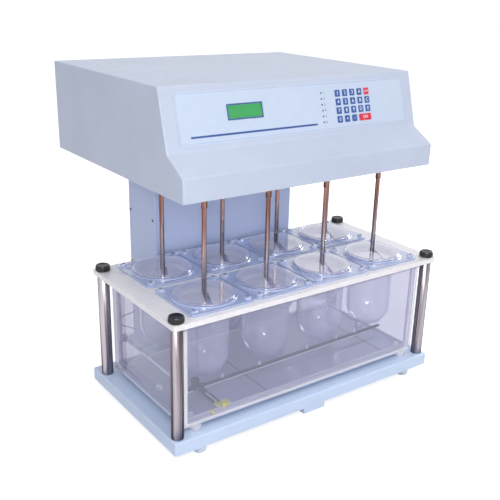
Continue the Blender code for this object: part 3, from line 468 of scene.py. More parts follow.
def add_turned(shape, profile, sides=ROUND_SIDES, centre=(0, 0), ring=False):
    """Turn (radius, height) points about Z; a ring's profile closes on itself."""
    rings = []
    for radius, height in profile:
        if radius == 0:
            rings.append([shape.verts.new((centre[0], centre[1], height))])
            continue
        rings.append([shape.verts.new((point.x, point.y, height))
                      for point in circle(radius, sides, centre)])
    followers = rings[1:] + rings[:1] if ring else rings[1:]
    for lower, upper in zip(rings, followers):
        for i in range(sides):
            quad = [lower[i - 1], lower[i]] if len(lower) > 1 else [lower[0]]
            quad += [upper[i], upper[i - 1]] if len(upper) > 1 else [upper[0]]
            shape.faces.new(quad)


def soften(shape, width, steps=EDGE_STEPS, angle=math.radians(40)):
    """Round every real edge of a shape."""
    edges = [edge for edge in shape.edges
             if len(edge.link_faces) == 2 and edge.calc_face_angle() > angle]
    bmesh.ops.bevel(shape, geom=edges, offset=width, segments=steps, profile=0.5,
                    affect="EDGES", clamp_overlap=True)


def arc(centre, radius, start, stop, steps=CORNER_STEPS):
    """(radius, height) points of a round corner in a turned profile, angles in degrees."""
    angles = [math.radians(start + (stop - start) * i / steps) for i in range(steps + 1)]
    return [(centre[0] + radius * math.cos(a), centre[1] + radius * math.sin(a)) for a in angles]


def turned_corner(radius, height, bend, kind):
    """Round corner of a turned profile: where its middle lies and which way it turns."""
    spots = {"bottom_outer": ((radius - bend, height + bend), -90, 0),
             "top_outer": ((radius - bend, height - bend), 0, 90),
             "top_inner": ((radius + bend, height - bend), 90, 180)}
    centre, start, stop = spots[kind]
    return arc(centre, bend, start, stop, EDGE_STEPS)


def is_flat(face, flat_area):
    """True for a large face that isn't a narrow strip of a bend."""
    area = face.calc_area()
    longest = max(edge.calc_length() for edge in face.edges)
    return area >= flat_area and area > longest * STRIP_WIDTH


def to_mesh(name, shape, flat_area=FLAT_FACE_AREA):
    """Close a shape into a mesh: large faces flat, small ones and bends smooth."""
    bmesh.ops.recalc_face_normals(shape, faces=shape.faces)
    flat = [is_flat(face, flat_area) for face in shape.faces]
    mesh = bpy.data.meshes.new(name)
    shape.to_mesh(mesh)
    shape.free()
    mesh.set_sharp_from_angle(angle=math.radians(48))
    for face, plain in zip(mesh.polygons, flat):
        face.use_smooth = not plain
    return mesh


def put(name, mesh, materials, body="root", slot=None, replaced=()):
    """Name a finished mesh, give it its finish and let it ride on its body."""
    for material in materials if isinstance(materials, (list, tuple)) else (materials,):
        mesh.materials.append(material)
    piece = bpy.data.objects.new(name, mesh)
    bpy.context.scene.collection.objects.link(piece)
    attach(piece, body)
    if replaced:
        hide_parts(*replaced)
    return piece


def moved(mesh, offset, name):
    """Copy of a mesh in another place."""
    copy = mesh.copy()
    copy.name = name
    copy.transform(Matrix.Translation(offset))
    return copy


def combined(shape, tool, operation):
    """Cut or fuse two shapes and give the result as a shape."""
    things = []
    for part in (shape, tool):
        bmesh.ops.recalc_face_normals(part, faces=part.faces)
        mesh = bpy.data.meshes.new("part")
        part.to_mesh(mesh)
        part.free()
        thing = bpy.data.objects.new("part", mesh)
        bpy.context.scene.collection.objects.link(thing)
        things.append(thing)
    step = things[0].modifiers.new("combine", "BOOLEAN")
    step.operation = operation
    step.solver = "EXACT"
    step.object = things[1]
    graph = bpy.context.evaluated_depsgraph_get()
    result = bmesh.new()
    evaluated = things[0].evaluated_get(graph)
    result.from_mesh(evaluated.to_mesh())
    evaluated.to_mesh_clear()
    for thing in things:
        mesh = thing.data
        bpy.data.objects.remove(thing, do_unlink=True)
        bpy.data.meshes.remove(mesh)
    return result


# Geometry Nodes for what repeats
def new_tree(name, inputs):
    """Geometry tree with named inputs; gives the tree, its input node and its output node."""
    tree = bpy.data.node_groups.new(name, "GeometryNodeTree")
    tree.interface.new_socket("Geometry", in_out="INPUT", socket_type="NodeSocketGeometry")
    for label, kind, value in inputs:
        socket = tree.interface.new_socket(label, in_out="INPUT", socket_type=kind)
        if value is not None:
            socket.default_value = value
    tree.interface.new_socket("Geometry", in_out="OUTPUT", socket_type="NodeSocketGeometry")
    return tree, tree.nodes.new("NodeGroupInput"), tree.nodes.new("NodeGroupOutput")


def finish_tree(tree, start, end, points, rotation=None):
    """Put the part on the points, make it real and give it its material."""
    part = add_node(tree, "GeometryNodeObjectInfo", {"Object": start.outputs["Part"]})
    part.inputs["As Instance"].default_value = True
    place = add_node(tree, "GeometryNodeInstanceOnPoints", {
        "Points": points, "Instance": part.outputs["Geometry"]})
    if rotation is not None:
        tree.links.new(rotation, place.inputs["Rotation"])
    real = add_node(tree, "GeometryNodeRealizeInstances", {"Geometry": place.outputs["Instances"]})
    coat = add_node(tree, "GeometryNodeSetMaterial", {
        "Geometry": real.outputs["Geometry"], "Material": start.outputs["Material"]})
    tree.links.new(coat.outputs["Geometry"], end.inputs["Geometry"])
    return tree


def points_tree():
    """Copies of a part on the piece's own points."""
    tree, start, end = new_tree("parts_on_points", (
        ("Part", "NodeSocketObject", None), ("Material", "NodeSocketMaterial", None)))
    points = add_node(tree, "GeometryNodeMeshToPoints", {"Mesh": start.outputs["Geometry"]})
    return finish_tree(tree, start, end, points.outputs["Points"])


def grid_tree():
    """Copies of a part in columns and rows."""
    tree, start, end = new_tree("parts_in_grid", (
        ("Part", "NodeSocketObject", None), ("Material", "NodeSocketMaterial", None),
        ("Columns", "NodeSocketInt", 2), ("Rows", "NodeSocketInt", 2),
        ("Width", "NodeSocketFloat", 0.1), ("Height", "NodeSocketFloat", 0.1)))
    grid = add_node(tree, "GeometryNodeMeshGrid", {
        "Vertices X": start.outputs["Columns"], "Vertices Y": start.outputs["Rows"],
        "Size X": start.outputs["Width"], "Size Y": start.outputs["Height"]})
    return finish_tree(tree, start, end, grid.outputs["Mesh"])


def ring_tree():
    """Copies of a part round a circle, each turned to face outwards."""
    tree, start, end = new_tree("parts_in_ring", (
        ("Part", "NodeSocketObject", None), ("Material", "NodeSocketMaterial", None),
        ("Count", "NodeSocketInt", 24), ("Radius", "NodeSocketFloat", 0.01)))
    ring = add_node(tree, "GeometryNodeMeshCircle", {
        "Vertices": start.outputs["Count"], "Radius": start.outputs["Radius"]})
    index = add_node(tree, "GeometryNodeInputIndex")
    share = add_node(tree, "ShaderNodeMath", operation="DIVIDE")
    tree.links.new(index.outputs["Index"], share.inputs[0])
    tree.links.new(start.outputs["Count"], share.inputs[1])
    turn = add_node(tree, "ShaderNodeMath", operation="MULTIPLY")
    tree.links.new(share.outputs[0], turn.inputs[0])
    turn.inputs[1].default_value = 2 * math.pi
    angles = add_node(tree, "ShaderNodeCombineXYZ", {"Z": turn.outputs[0]})
    return finish_tree(tree, start, end, ring.outputs["Mesh"], angles.outputs["Vector"])


def wire_tree():
    """Round wire along the piece's own lines, with its bends eased."""
    tree, start, end = new_tree("wire_on_path", (
        ("Material", "NodeSocketMaterial", None), ("Radius", "NodeSocketFloat", 0.001),
        ("Bend", "NodeSocketFloat", 0.01)))
    line = add_node(tree, "GeometryNodeMeshToCurve", {"Mesh": start.outputs["Geometry"]})
    eased = add_node(tree, "GeometryNodeFilletCurve", {
        "Curve": line.outputs["Curve"], "Radius": start.outputs["Bend"]}, mode="POLY")
    eased.inputs["Count"].default_value = 6
    ring = add_node(tree, "GeometryNodeCurvePrimitiveCircle", {"Radius": start.outputs["Radius"]})
    ring.inputs["Resolution"].default_value = 10
    sweep = add_node(tree, "GeometryNodeCurveToMesh", {
        "Curve": eased.outputs["Curve"], "Profile Curve": ring.outputs["Curve"]})
    sweep.inputs["Fill Caps"].default_value = True
    coat = add_node(tree, "GeometryNodeSetMaterial", {
        "Geometry": sweep.outputs["Mesh"], "Material": start.outputs["Material"]})
    tree.links.new(coat.outputs["Geometry"], end.inputs["Geometry"])
    return tree


def grow(tree, part_shape, material, points=(), edges=(), centre=(0, 0, 0), turn=None,
         **values):
    """Run a tree with a part and its named inputs, and give the plain mesh."""
    part = bpy.data.objects.new("part", to_mesh("part", part_shape))
    base = bpy.data.meshes.new("points")
    base.from_pydata([tuple(point) for point in points], edges, [])
    holder = bpy.data.objects.new("holder", base)
    for thing in (part, holder):
        bpy.context.scene.collection.objects.link(thing)
    step = holder.modifiers.new("grow", "NODES")
    step.node_group = tree
    values = {"Part": part, "Material": material, **values}
    for item in tree.interface.items_tree:
        if item.in_out == "INPUT" and item.name in values:
            step[item.identifier] = values[item.name]
    graph = bpy.context.evaluated_depsgraph_get()
    mesh = bpy.data.meshes.new_from_object(holder.evaluated_get(graph))
    for thing in (part, holder):
        data = thing.data
        bpy.data.objects.remove(thing, do_unlink=True)
        bpy.data.meshes.remove(data)
    mesh.transform(Matrix.Translation(centre) @ (turn or Matrix.Identity(4)))
    mesh.materials.clear()
    return mesh


POINTS_TREE = points_tree()
GRID_TREE = grid_tree()
RING_TREE = ring_tree()
WIRE_TREE = wire_tree()


# Small hardware
def screw_shape(radius, height, axis):
    """Pan head with a cross recess, standing out along an axis."""
    shape = bmesh.new()
    add_turned(shape, [(0, 0), (radius, 0), (radius, height * 0.35)]
               + arc((radius * 0.45, height * 0.35), radius * 0.55, 0, 60, 4)[1:]
               + [(0, height)], 24)
    slots = bmesh.new()
    reach = radius * 0.55
    thin = radius * 0.12
    add_block(slots, (-reach, -thin, height * 0.55), (reach, thin, height * 2))
    shape = combined(shape, slots, "DIFFERENCE")
    slots = bmesh.new()
    add_block(slots, (-thin, -reach, height * 0.55), (thin, reach, height * 2))
    shape = combined(shape, slots, "DIFFERENCE")
    turn = Vector((0, 0, 1)).rotation_difference(Vector(axis)).to_matrix().to_4x4()
    bmesh.ops.transform(shape, matrix=turn, verts=shape.verts)
    return shape


def screws(name, places, axis, radius=0.003, height=0.0018, body="root", material=None):
    """A set of like screws at given places."""
    finish = material or SCREW_STEEL
    mesh = grow(POINTS_TREE, screw_shape(radius, height, axis), finish, places)
    put(name, mesh, finish, body)


# Base
REST_WIDTH = 0.059
REST_DEPTH = 0.040
REST_SETBACK = 0.001
BASE_BEND = 0.0025
TAIL_EDGE = 0.012
TAIL_BACK_EDGE = 0.002
BASE_BACK = PLATE_HIGH.y + 0.022


def base_outline():
    """Base seen from above, with its narrower tail under the column."""
    tail = COLUMN_HIGH.x + TAIL_EDGE
    back = COLUMN_HIGH.y + TAIL_BACK_EDGE
    low, high = BASE_LOW, BASE_HIGH
    return [Vector(point) for point in (
        (low.x, low.y), (high.x, low.y), (high.x, BASE_BACK), (tail, BASE_BACK),
        (tail, back), (-tail, back), (-tail, BASE_BACK), (low.x, BASE_BACK))]


def make_base():
    """Folded tray with rounded edges, open below, over foot pads and the front rest."""
    bottom = FOOT_HIGH.z + GAP
    shape = bmesh.new()
    add_prism(shape, rounded(base_outline(), 0.003), bottom, BASE_HIGH.z)
    lower = [face for face in shape.faces
             if face.normal.z < -0.5 or all(v.co.z < bottom + GAP for v in face.verts)]
    bmesh.ops.delete(shape, geom=lower, context="FACES_ONLY")
    bmesh.ops.recalc_face_normals(shape, faces=shape.faces)
    soften(shape, BASE_BEND)
    bmesh.ops.solidify(shape, geom=shape.faces, thickness=0.0018)
    put("base_shell", to_mesh("base_shell", shape), PAINT_BASE, slot="base_paint",
        replaced=("base_tray",))
    pads = bmesh.new()
    reach = 0.0135
    ceiling = BASE_HIGH.z - 0.0022
    for foot in FEET:
        add_block(pads, (foot.x - reach, foot.y - reach, bottom),
                  (foot.x + reach, foot.y + reach, ceiling))
    soften(pads, 0.0008, 2)
    put("foot_pads", to_mesh("foot_pads", pads), PAINT_BASE, slot="base_paint")
    rest = bmesh.new()
    front = BASE_LOW.y + REST_SETBACK
    add_block(rest, (-REST_WIDTH / 2, front, 0),
              (REST_WIDTH / 2, front + REST_DEPTH, bottom + 0.004))
    soften(rest, 0.0015)
    put("front_rest", to_mesh("front_rest", rest), PAINT_BASE, slot="base_paint")


def make_feet():
    """Round feet with a grip ring and a recess below; the screw in the recess is not drawn."""
    radius = (FOOT_HIGH.x - FOOT_LOW.x) / 2
    top = FOOT_HIGH.z
    recess = 0.004
    profile = [(0, recess), (0.005, recess), (0.005, 0.0005), (0.0055, 0)]
    profile += turned_corner(radius - 0.001, 0, 0.0015, "bottom_outer")
    profile += [(radius - 0.001, top * 0.35), (radius - 0.0016, top * 0.42),
                (radius - 0.0016, top * 0.5), (radius, top * 0.58)]
    profile += turned_corner(radius, top, 0.001, "top_outer") + [(0, top)]
    shape = bmesh.new()
    add_turned(shape, profile)
    mesh = to_mesh("foot", shape)
    for i, place in enumerate(FEET, start=1):
        put(f"round_foot_{i}", moved(mesh, place, f"round_foot_{i}"), FOOT_PALE,
            slot="foot_pale", replaced=(f"foot_{i}",))


# Posts and knobs
def make_posts():
    """Turned posts with a chamfer at each end and a thin stud up through the plate; the foot ring
    and the washer on the plate are not drawn.
    """
    radius = (POST_HIGH.x - POST_LOW.x) / 2
    bottom = POST_LOW.z
    shoulder = PLATE_LOW.z - GAP
    chamfer = 0.0008
    stud = 0.004
    profile = [(0, bottom), (radius - chamfer, bottom), (radius, bottom + chamfer),
               (radius, shoulder - chamfer), (radius - chamfer, shoulder), (stud, shoulder),
               (stud, POST_HIGH.z), (0, POST_HIGH.z)]
    shape = bmesh.new()
    add_turned(shape, profile)
    mesh = to_mesh("post", shape, 0.01)
    for i, place in enumerate(POSTS, start=1):
        put(f"steel_post_{i}", moved(mesh, place, f"steel_post_{i}"), POST_STEEL,
            slot="post_steel", replaced=(f"post_{i}",))


def make_knobs():
    """Black hand knobs with a fluted rim and a dished top."""
    radius = (KNOB_HIGH.x - KNOB_LOW.x) / 2
    low, high = KNOB_LOW.z, KNOB_HIGH.z
    core = radius - 0.0009
    profile = [(0, POST_HIGH.z + GAP), (0.0046, POST_HIGH.z + GAP), (0.0046, low)]
    profile += [(core - 0.001, low)] + turned_corner(core, low, 0.001, "bottom_outer")
    profile += turned_corner(core, high, 0.0018, "top_outer")
    profile += [(core - 0.004, high), (core - 0.006, high - 0.0009), (0, high - 0.0009)]
    body = bmesh.new()
    add_turned(body, profile)
    core_mesh = to_mesh("knob_core", body)
    flute = bmesh.new()
    add_turned(flute, [(0, low + 0.0012), (0.0007, low + 0.0015), (0.0009, low + 0.003),
                       (0.0009, high - 0.0035), (0.0006, high - 0.0022), (0, high - 0.002)], 10)
    ribs = grow(RING_TREE, flute, BLACK, Count=30, Radius=core)
    for i, place in enumerate(POSTS, start=1):
        put(f"hand_knob_{i}", moved(core_mesh, place, f"hand_knob_{i}"), BLACK, f"knob_{i}",
            "knob_black", (f"post_knob_{i}",))
        put(f"knob_ribs_{i}", moved(ribs, place, f"knob_ribs_{i}"), BLACK, f"knob_{i}",
            "knob_black")


# Vessel plate and centring plates
VESSEL_RADIUS = 0.0525
VESSEL_WALL = 0.0028
FLANGE_RADIUS = (VESSEL_HIGH.x - VESSEL_LOW.x) / 2
FLANGE_THICKNESS = 0.005


def make_vessel_plate():
    """Milky plate with eight bores and four stud holes."""
    shape = bmesh.new()
    outline = rounded(rectangle(PLATE_LOW.x, PLATE_HIGH.x, PLATE_LOW.y, PLATE_HIGH.y), 0.004)
    holes = [circle(VESSEL_RADIUS + 0.002, FINE_SIDES, place.xy) for place in STATIONS]
    holes += [circle(0.0045, 32, place.xy) for place in POSTS]
    add_prism(shape, outline, PLATE_LOW.z, PLATE_HIGH.z, holes=holes)
    bmesh.ops.recalc_face_normals(shape, faces=shape.faces)
    soften(shape, 0.0007, 2)
    put("carrier_plate", to_mesh("carrier_plate", shape), MILK, slot="plate_white",
        replaced=("vessel_plate",))


CLIP_INSET = 0.013
CLIP_RADIUS = 0.0075


def centring_shape():
    """Square plate with waisted sides, a stepped bore and its clip posts."""
    half = (CENTRING_HIGH.x - CENTRING_LOW.x) / 2
    low = CENTRING_LOW.z
    top = VESSEL_HIGH.z - FLANGE_THICKNESS - GAP
    shape = bmesh.new()
    outline = rounded(rectangle(-half, half, -half, half), 0.013, 8)
    add_prism(shape, outline, low, top, holes=[circle(VESSEL_RADIUS + 0.0015, FINE_SIDES)])
    bmesh.ops.recalc_face_normals(shape, faces=shape.faces)
    soften(shape, 0.0007, 2)
    collar = FLANGE_RADIUS + 0.0006
    add_turned(shape, [(collar, top - 0.001), (collar + 0.0035, top - 0.001)]
               + turned_corner(collar + 0.0035, top + 0.0026, 0.0008, "top_outer")
               + turned_corner(collar, top + 0.0026, 0.0008, "top_inner"), FINE_SIDES, ring=True)
    reach = half - CLIP_INSET
    for x in (-reach, reach):
        for y in (-reach, reach):
            profile = [(0, top - 0.001), (CLIP_RADIUS, top - 0.001)]
            profile += turned_corner(CLIP_RADIUS, CENTRING_HIGH.z, 0.0012, "top_outer")
            profile += [(0, CENTRING_HIGH.z)]
            add_turned(shape, profile, 32, (x, y))
    return shape


def make_centring_plates():
    """One centring plate for each station, with a screw in each clip post."""
    mesh = to_mesh("centring", centring_shape())
    half = (CENTRING_HIGH.x - CENTRING_LOW.x) / 2
    reach = half - CLIP_INSET
    corners = [Vector((x, y, CENTRING_HIGH.z - 0.0004))
               for x in (-reach, reach) for y in (-reach, reach)]
    for i, place in enumerate(STATIONS, start=1):
        put(f"centring_{i}", moved(mesh, place, f"centring_{i}"), CENTRING,
            slot="centring_blue", replaced=(f"centring_plate_{i}",))
        screws(f"clip_screws_{i}", [place + corner for corner in corners], (0, 0, 1),
               0.0028, 0.0012)


# Glassware
def make_vessels():
    """Blown vessels with a round bottom and a rolled flange; the wall is one clear sheet."""
    bottom, top = VESSEL_LOW.z, VESSEL_HIGH.z
    centre = (0, bottom + VESSEL_RADIUS)
    under = top - FLANGE_THICKNESS
    inner = VESSEL_RADIUS - VESSEL_WALL
    profile = [(0, bottom)] + arc(centre, VESSEL_RADIUS, -90, 0, 18)[1:]
    profile += arc((VESSEL_RADIUS + 0.002, under - 0.002), 0.002, 180, 90, 4)
    profile += turned_corner(FLANGE_RADIUS, under, 0.0018, "bottom_outer")[1:]
    profile += turned_corner(FLANGE_RADIUS, top, 0.0018, "top_outer")
    profile += turned_corner(inner, top, 0.0015, "top_inner") + [(inner, under - 0.004)]
    shape = bmesh.new()
    add_turned(shape, profile, FINE_SIDES)
    mesh = to_mesh("vessel", shape, 0.01)
    for i, place in enumerate(STATIONS, start=1):
        put(f"glass_vessel_{i}", moved(mesh, place, f"glass_vessel_{i}"), GLASS,
            slot="vessel_glass", replaced=(f"vessel_{i}",))


LID_RADIUS = FLANGE_RADIUS - 0.003
LID_HOLE = 0.007
LID_SLOT_HALF = 0.006
LID_SLOT_ANGLE = math.radians(-113)


def lid_outline():
    """Disc with a slot from its rim into the hole at its middle."""
    outline = []
    for radius, steps, way in ((LID_RADIUS, FINE_SIDES, 1), (LID_HOLE, 16, -1)):
        mouth = math.asin(LID_SLOT_HALF / radius)
        turn = 2 * math.pi - 2 * mouth
        for step in range(steps + 1):
            angle = LID_SLOT_ANGLE + way * (mouth + turn * step / steps)
            outline.append(Vector((math.cos(angle), math.sin(angle))) * radius)
    return outline


def make_lids():
    """Clear slotted lids with polished edges."""
    shape = bmesh.new()
    add_prism(shape, lid_outline(), LID_LOW.z, LID_HIGH.z)
    soften(shape, 0.0006, 2, math.radians(50))
    mesh = to_mesh("lid", shape)
    for i, place in enumerate(STATIONS, start=1):
        put(f"clear_lid_{i}", moved(mesh, place, f"clear_lid_{i}"), LID_CLEAR, f"lid_{i}",
            "lid_clear", (f"vessel_lid_{i}",))


# Paddles
SHAFT_RADIUS = 0.0049
CHUCK_RADIUS = 0.00625
CHUCK_LENGTH = 0.036
PULLEY_RADIUS = 0.020
PULLEY_LOW = FLOOR_HIGH.z + GAP
PULLEY_HIGH = PULLEY_LOW + 0.012


def paddle_shape():
    """Shaft, chuck, spindle and drive pulley turned about one axis."""
    bottom = SHAFT_LOW.z
    chuck_top = HEAD_LOW.z - GAP
    chuck_low = chuck_top - CHUCK_LENGTH
    radius = PULLEY_RADIUS * 0.985
    profile = [(0, bottom)] + turned_corner(SHAFT_RADIUS, bottom, 0.0006, "bottom_outer")
    profile += [(SHAFT_RADIUS, chuck_low), (CHUCK_RADIUS - 0.0006, chuck_low),
                (CHUCK_RADIUS, chuck_low + 0.0006)]
    profile += [(CHUCK_RADIUS, chuck_top - 0.0006), (CHUCK_RADIUS - 0.0006, chuck_top),
                (SHAFT_RADIUS, chuck_top), (SHAFT_RADIUS, PULLEY_LOW), (radius, PULLEY_LOW),
                (radius, PULLEY_HIGH), (SHAFT_RADIUS, PULLEY_HIGH),
                (SHAFT_RADIUS, SHAFT_HIGH.z - 0.0006), (SHAFT_RADIUS - 0.0006, SHAFT_HIGH.z),
                (0, SHAFT_HIGH.z)]
    shape = bmesh.new()
    add_turned(shape, profile, 40)
    return shape


def make_paddles():
    """Paddles with a clamp screw in each chuck."""
    mesh = to_mesh("paddle", paddle_shape(), 0.001)
    screw_z = HEAD_LOW.z - CHUCK_LENGTH * 0.3
    for i, place in enumerate(STATIONS, start=1):
        put(f"paddle_{i}", moved(mesh, place, f"paddle_{i}"), SHAFT_STEEL, f"paddle_{i}",
            "shaft_steel", (f"paddle_shaft_{i}",))
        screws(f"chuck_screw_{i}", [place + Vector((0, -CHUCK_RADIUS + 0.0003, screw_z))],
               (0, -1, 0), 0.0018, 0.0008, f"paddle_{i}")


# Water bath
BATH_WALL = 0.008
BATH_RIM_HEIGHT = 0.015
BATH_RIM = 0.003
BATH_FLOOR = 0.063
BATH_UNDERSIDE = BATH_FLOOR - BATH_WALL
STANDOFF_RADIUS = 0.014
STANDOFF_SIDE_INSET = 0.029
STANDOFF_END_INSET = 0.007
BOND_GAP = 0.0002
# Size of the white cones that paint the standoffs' reflections in the tank floor
REFLECTION_CONE_RADIUS = 0.009
REFLECTION_CONE_HEIGHT = 0.008
SEAM_BAR = 0.006
SEAM_BAR_HEIGHT = 0.0075
LARGE_FACE_AREA = 0.02
FLOOR_JOINTS = (-0.105, 0.244)


def bath_panels(low, high):
    """Corners of the tank's five panels: floor, left, right, front and back."""
    top = BATH_FLOOR + BOND_GAP
    left, right = low.x + BATH_WALL, high.x - BATH_WALL
    return (((low.x, low.y, low.z), (high.x, high.y, BATH_FLOOR)),
            ((low.x, low.y, top), (left, high.y, high.z)),
            ((right, low.y, top), (high.x, high.y, high.z)),
            ((left + BOND_GAP, low.y, top), (right - BOND_GAP, low.y + BATH_WALL, high.z)),
            ((left + BOND_GAP, high.y - BATH_WALL, top), (right - BOND_GAP, high.y, high.z)))


def make_bath():
    """Tank of bonded acrylic panels with sawn edges, a strip bonded round its rim, its standoffs,
    and white cones that paint the standoffs' reflections in its floor.
    """
    low = Vector((BATH_LOW.x + BATH_RIM, BATH_LOW.y + BATH_RIM, BATH_UNDERSIDE))
    high = Vector((BATH_HIGH.x - BATH_RIM, BATH_HIGH.y - BATH_RIM, BATH_HIGH.z))
    shape = bmesh.new()
    for corners in bath_panels(low, high):
        add_block(shape, *corners)
    bmesh.ops.recalc_face_normals(shape, faces=shape.faces)
    soften(shape, 0.0006, 2)
    for face in shape.faces:
        level = abs(face.normal.z) > 0.9
        large = face.calc_area() > LARGE_FACE_AREA
        face.material_index = (2 if level else 0) if large else 1
    put("clear_bath", to_mesh("clear_bath", shape), (ACRYLIC, ACRYLIC_EDGE, ACRYLIC_FLOOR),
        slot="bath_acrylic", replaced=("water_bath",))
    strip = bmesh.new()
    outer = rectangle(BATH_LOW.x, BATH_HIGH.x, BATH_LOW.y, BATH_HIGH.y)
    inner = rectangle(low.x - GAP, high.x + GAP, low.y - GAP, high.y + GAP)
    add_prism(strip, outer, BATH_HIGH.z - BATH_RIM_HEIGHT, BATH_HIGH.z, holes=[inner])
    bmesh.ops.recalc_face_normals(strip, faces=strip.faces)
    soften(strip, 0.0004, 1)
    put("bath_rim_strip", to_mesh("bath_rim_strip", strip), ACRYLIC, slot="bath_acrylic")
    stand = bmesh.new()
    bottom, top = BASE_HIGH.z + GAP, BATH_UNDERSIDE - GAP
    profile = [(0, bottom)] + turned_corner(STANDOFF_RADIUS, bottom, 0.001, "bottom_outer")
    profile += turned_corner(STANDOFF_RADIUS, top, 0.0025, "top_outer") + [(0, top)]
    ends = (low.y + STANDOFF_END_INSET, high.y - STANDOFF_END_INSET)
    for x in (low.x + STANDOFF_SIDE_INSET, high.x - STANDOFF_SIDE_INSET):
        for y in (*ends, sum(ends) / 2):
            add_turned(stand, profile, 48, (x, y))
    put("bath_standoffs", to_mesh("bath_standoffs", stand), STANDOFF_CLEAR, slot="bath_acrylic")
    # White cones inside the tank over the standoffs: painted reflections of the standoffs in its
    # floor
    reflection_cones = bmesh.new()
    foot = BATH_FLOOR + GAP
    inset = BATH_WALL + SEAM_BAR + REFLECTION_CONE_RADIUS + GAP
    ends = (low.y + inset, high.y - inset)
    for x in (low.x + STANDOFF_SIDE_INSET, high.x - STANDOFF_SIDE_INSET):
        for y in (*ends, sum(ends) / 2):
            add_turned(reflection_cones, [(0, foot), (REFLECTION_CONE_RADIUS, foot), (REFLECTION_CONE_RADIUS, foot + 0.002),
                              (REFLECTION_CONE_RADIUS * 0.6, foot + REFLECTION_CONE_HEIGHT), (0, foot + REFLECTION_CONE_HEIGHT)],
                       6, (x, y))
    put("standoff_caps", to_mesh("standoff_caps", reflection_cones, 0.000001), NOZZLE_AND_HIGHLIGHT, slot="bath_acrylic")


def make_bath_seams():
    """Bonding bars inside the tank's foot and corners, and the joints of its floor."""
    side = BATH_RIM + BATH_WALL + GAP
    left, right = BATH_LOW.x + side, BATH_HIGH.x - side
    front, back = BATH_LOW.y + side, BATH_HIGH.y - side
    bars = bmesh.new()
    foot = BATH_FLOOR + GAP
    inner = rectangle(left + SEAM_BAR, right - SEAM_BAR, front + SEAM_BAR, back - SEAM_BAR)
    add_prism(bars, rectangle(left, right, front, back), foot, foot + SEAM_BAR_HEIGHT,
              holes=[inner])
    for x in (left, right - SEAM_BAR):
        for y in (front, back - SEAM_BAR):
            add_block(bars, (x, y, foot + SEAM_BAR_HEIGHT + GAP),
                      (x + SEAM_BAR, y + SEAM_BAR, BATH_HIGH.z - GAP))
    bmesh.ops.recalc_face_normals(bars, faces=bars.faces)
    soften(bars, 0.0018, 3)
    put("bath_seam_bars", to_mesh("bath_seam_bars", bars), ACRYLIC_EDGE, slot="bath_acrylic")
    joints = bmesh.new()
    for x in FLOOR_JOINTS:
        add_block(joints, (x, front + SEAM_BAR + GAP, BATH_FLOOR + GAP / 2),
                  (x + 0.0032, back - SEAM_BAR - GAP, BATH_FLOOR + GAP))
    put("floor_joints", to_mesh("floor_joints", joints), SEAM, slot="bath_acrylic")


JET_PLACES = (-0.164, -0.062, 0.079, 0.171, 0.233)
PIPE_FALL = 0.0095


def level_rod(shape, profile, centre, axis, sides=32):
    """Turn (radius, distance) points about a level axis through a centre."""
    part = bmesh.new()
    add_turned(part, profile, sides)
    turn = Vector((0, 0, 1)).rotation_difference(Vector(axis)).to_matrix().to_4x4()
    bmesh.ops.transform(part, matrix=Matrix.Translation(centre) @ turn, verts=part.verts)
    mesh = bpy.data.meshes.new("part")
    part.to_mesh(mesh)
    part.free()
    shape.from_mesh(mesh)
    bpy.data.meshes.remove(mesh)


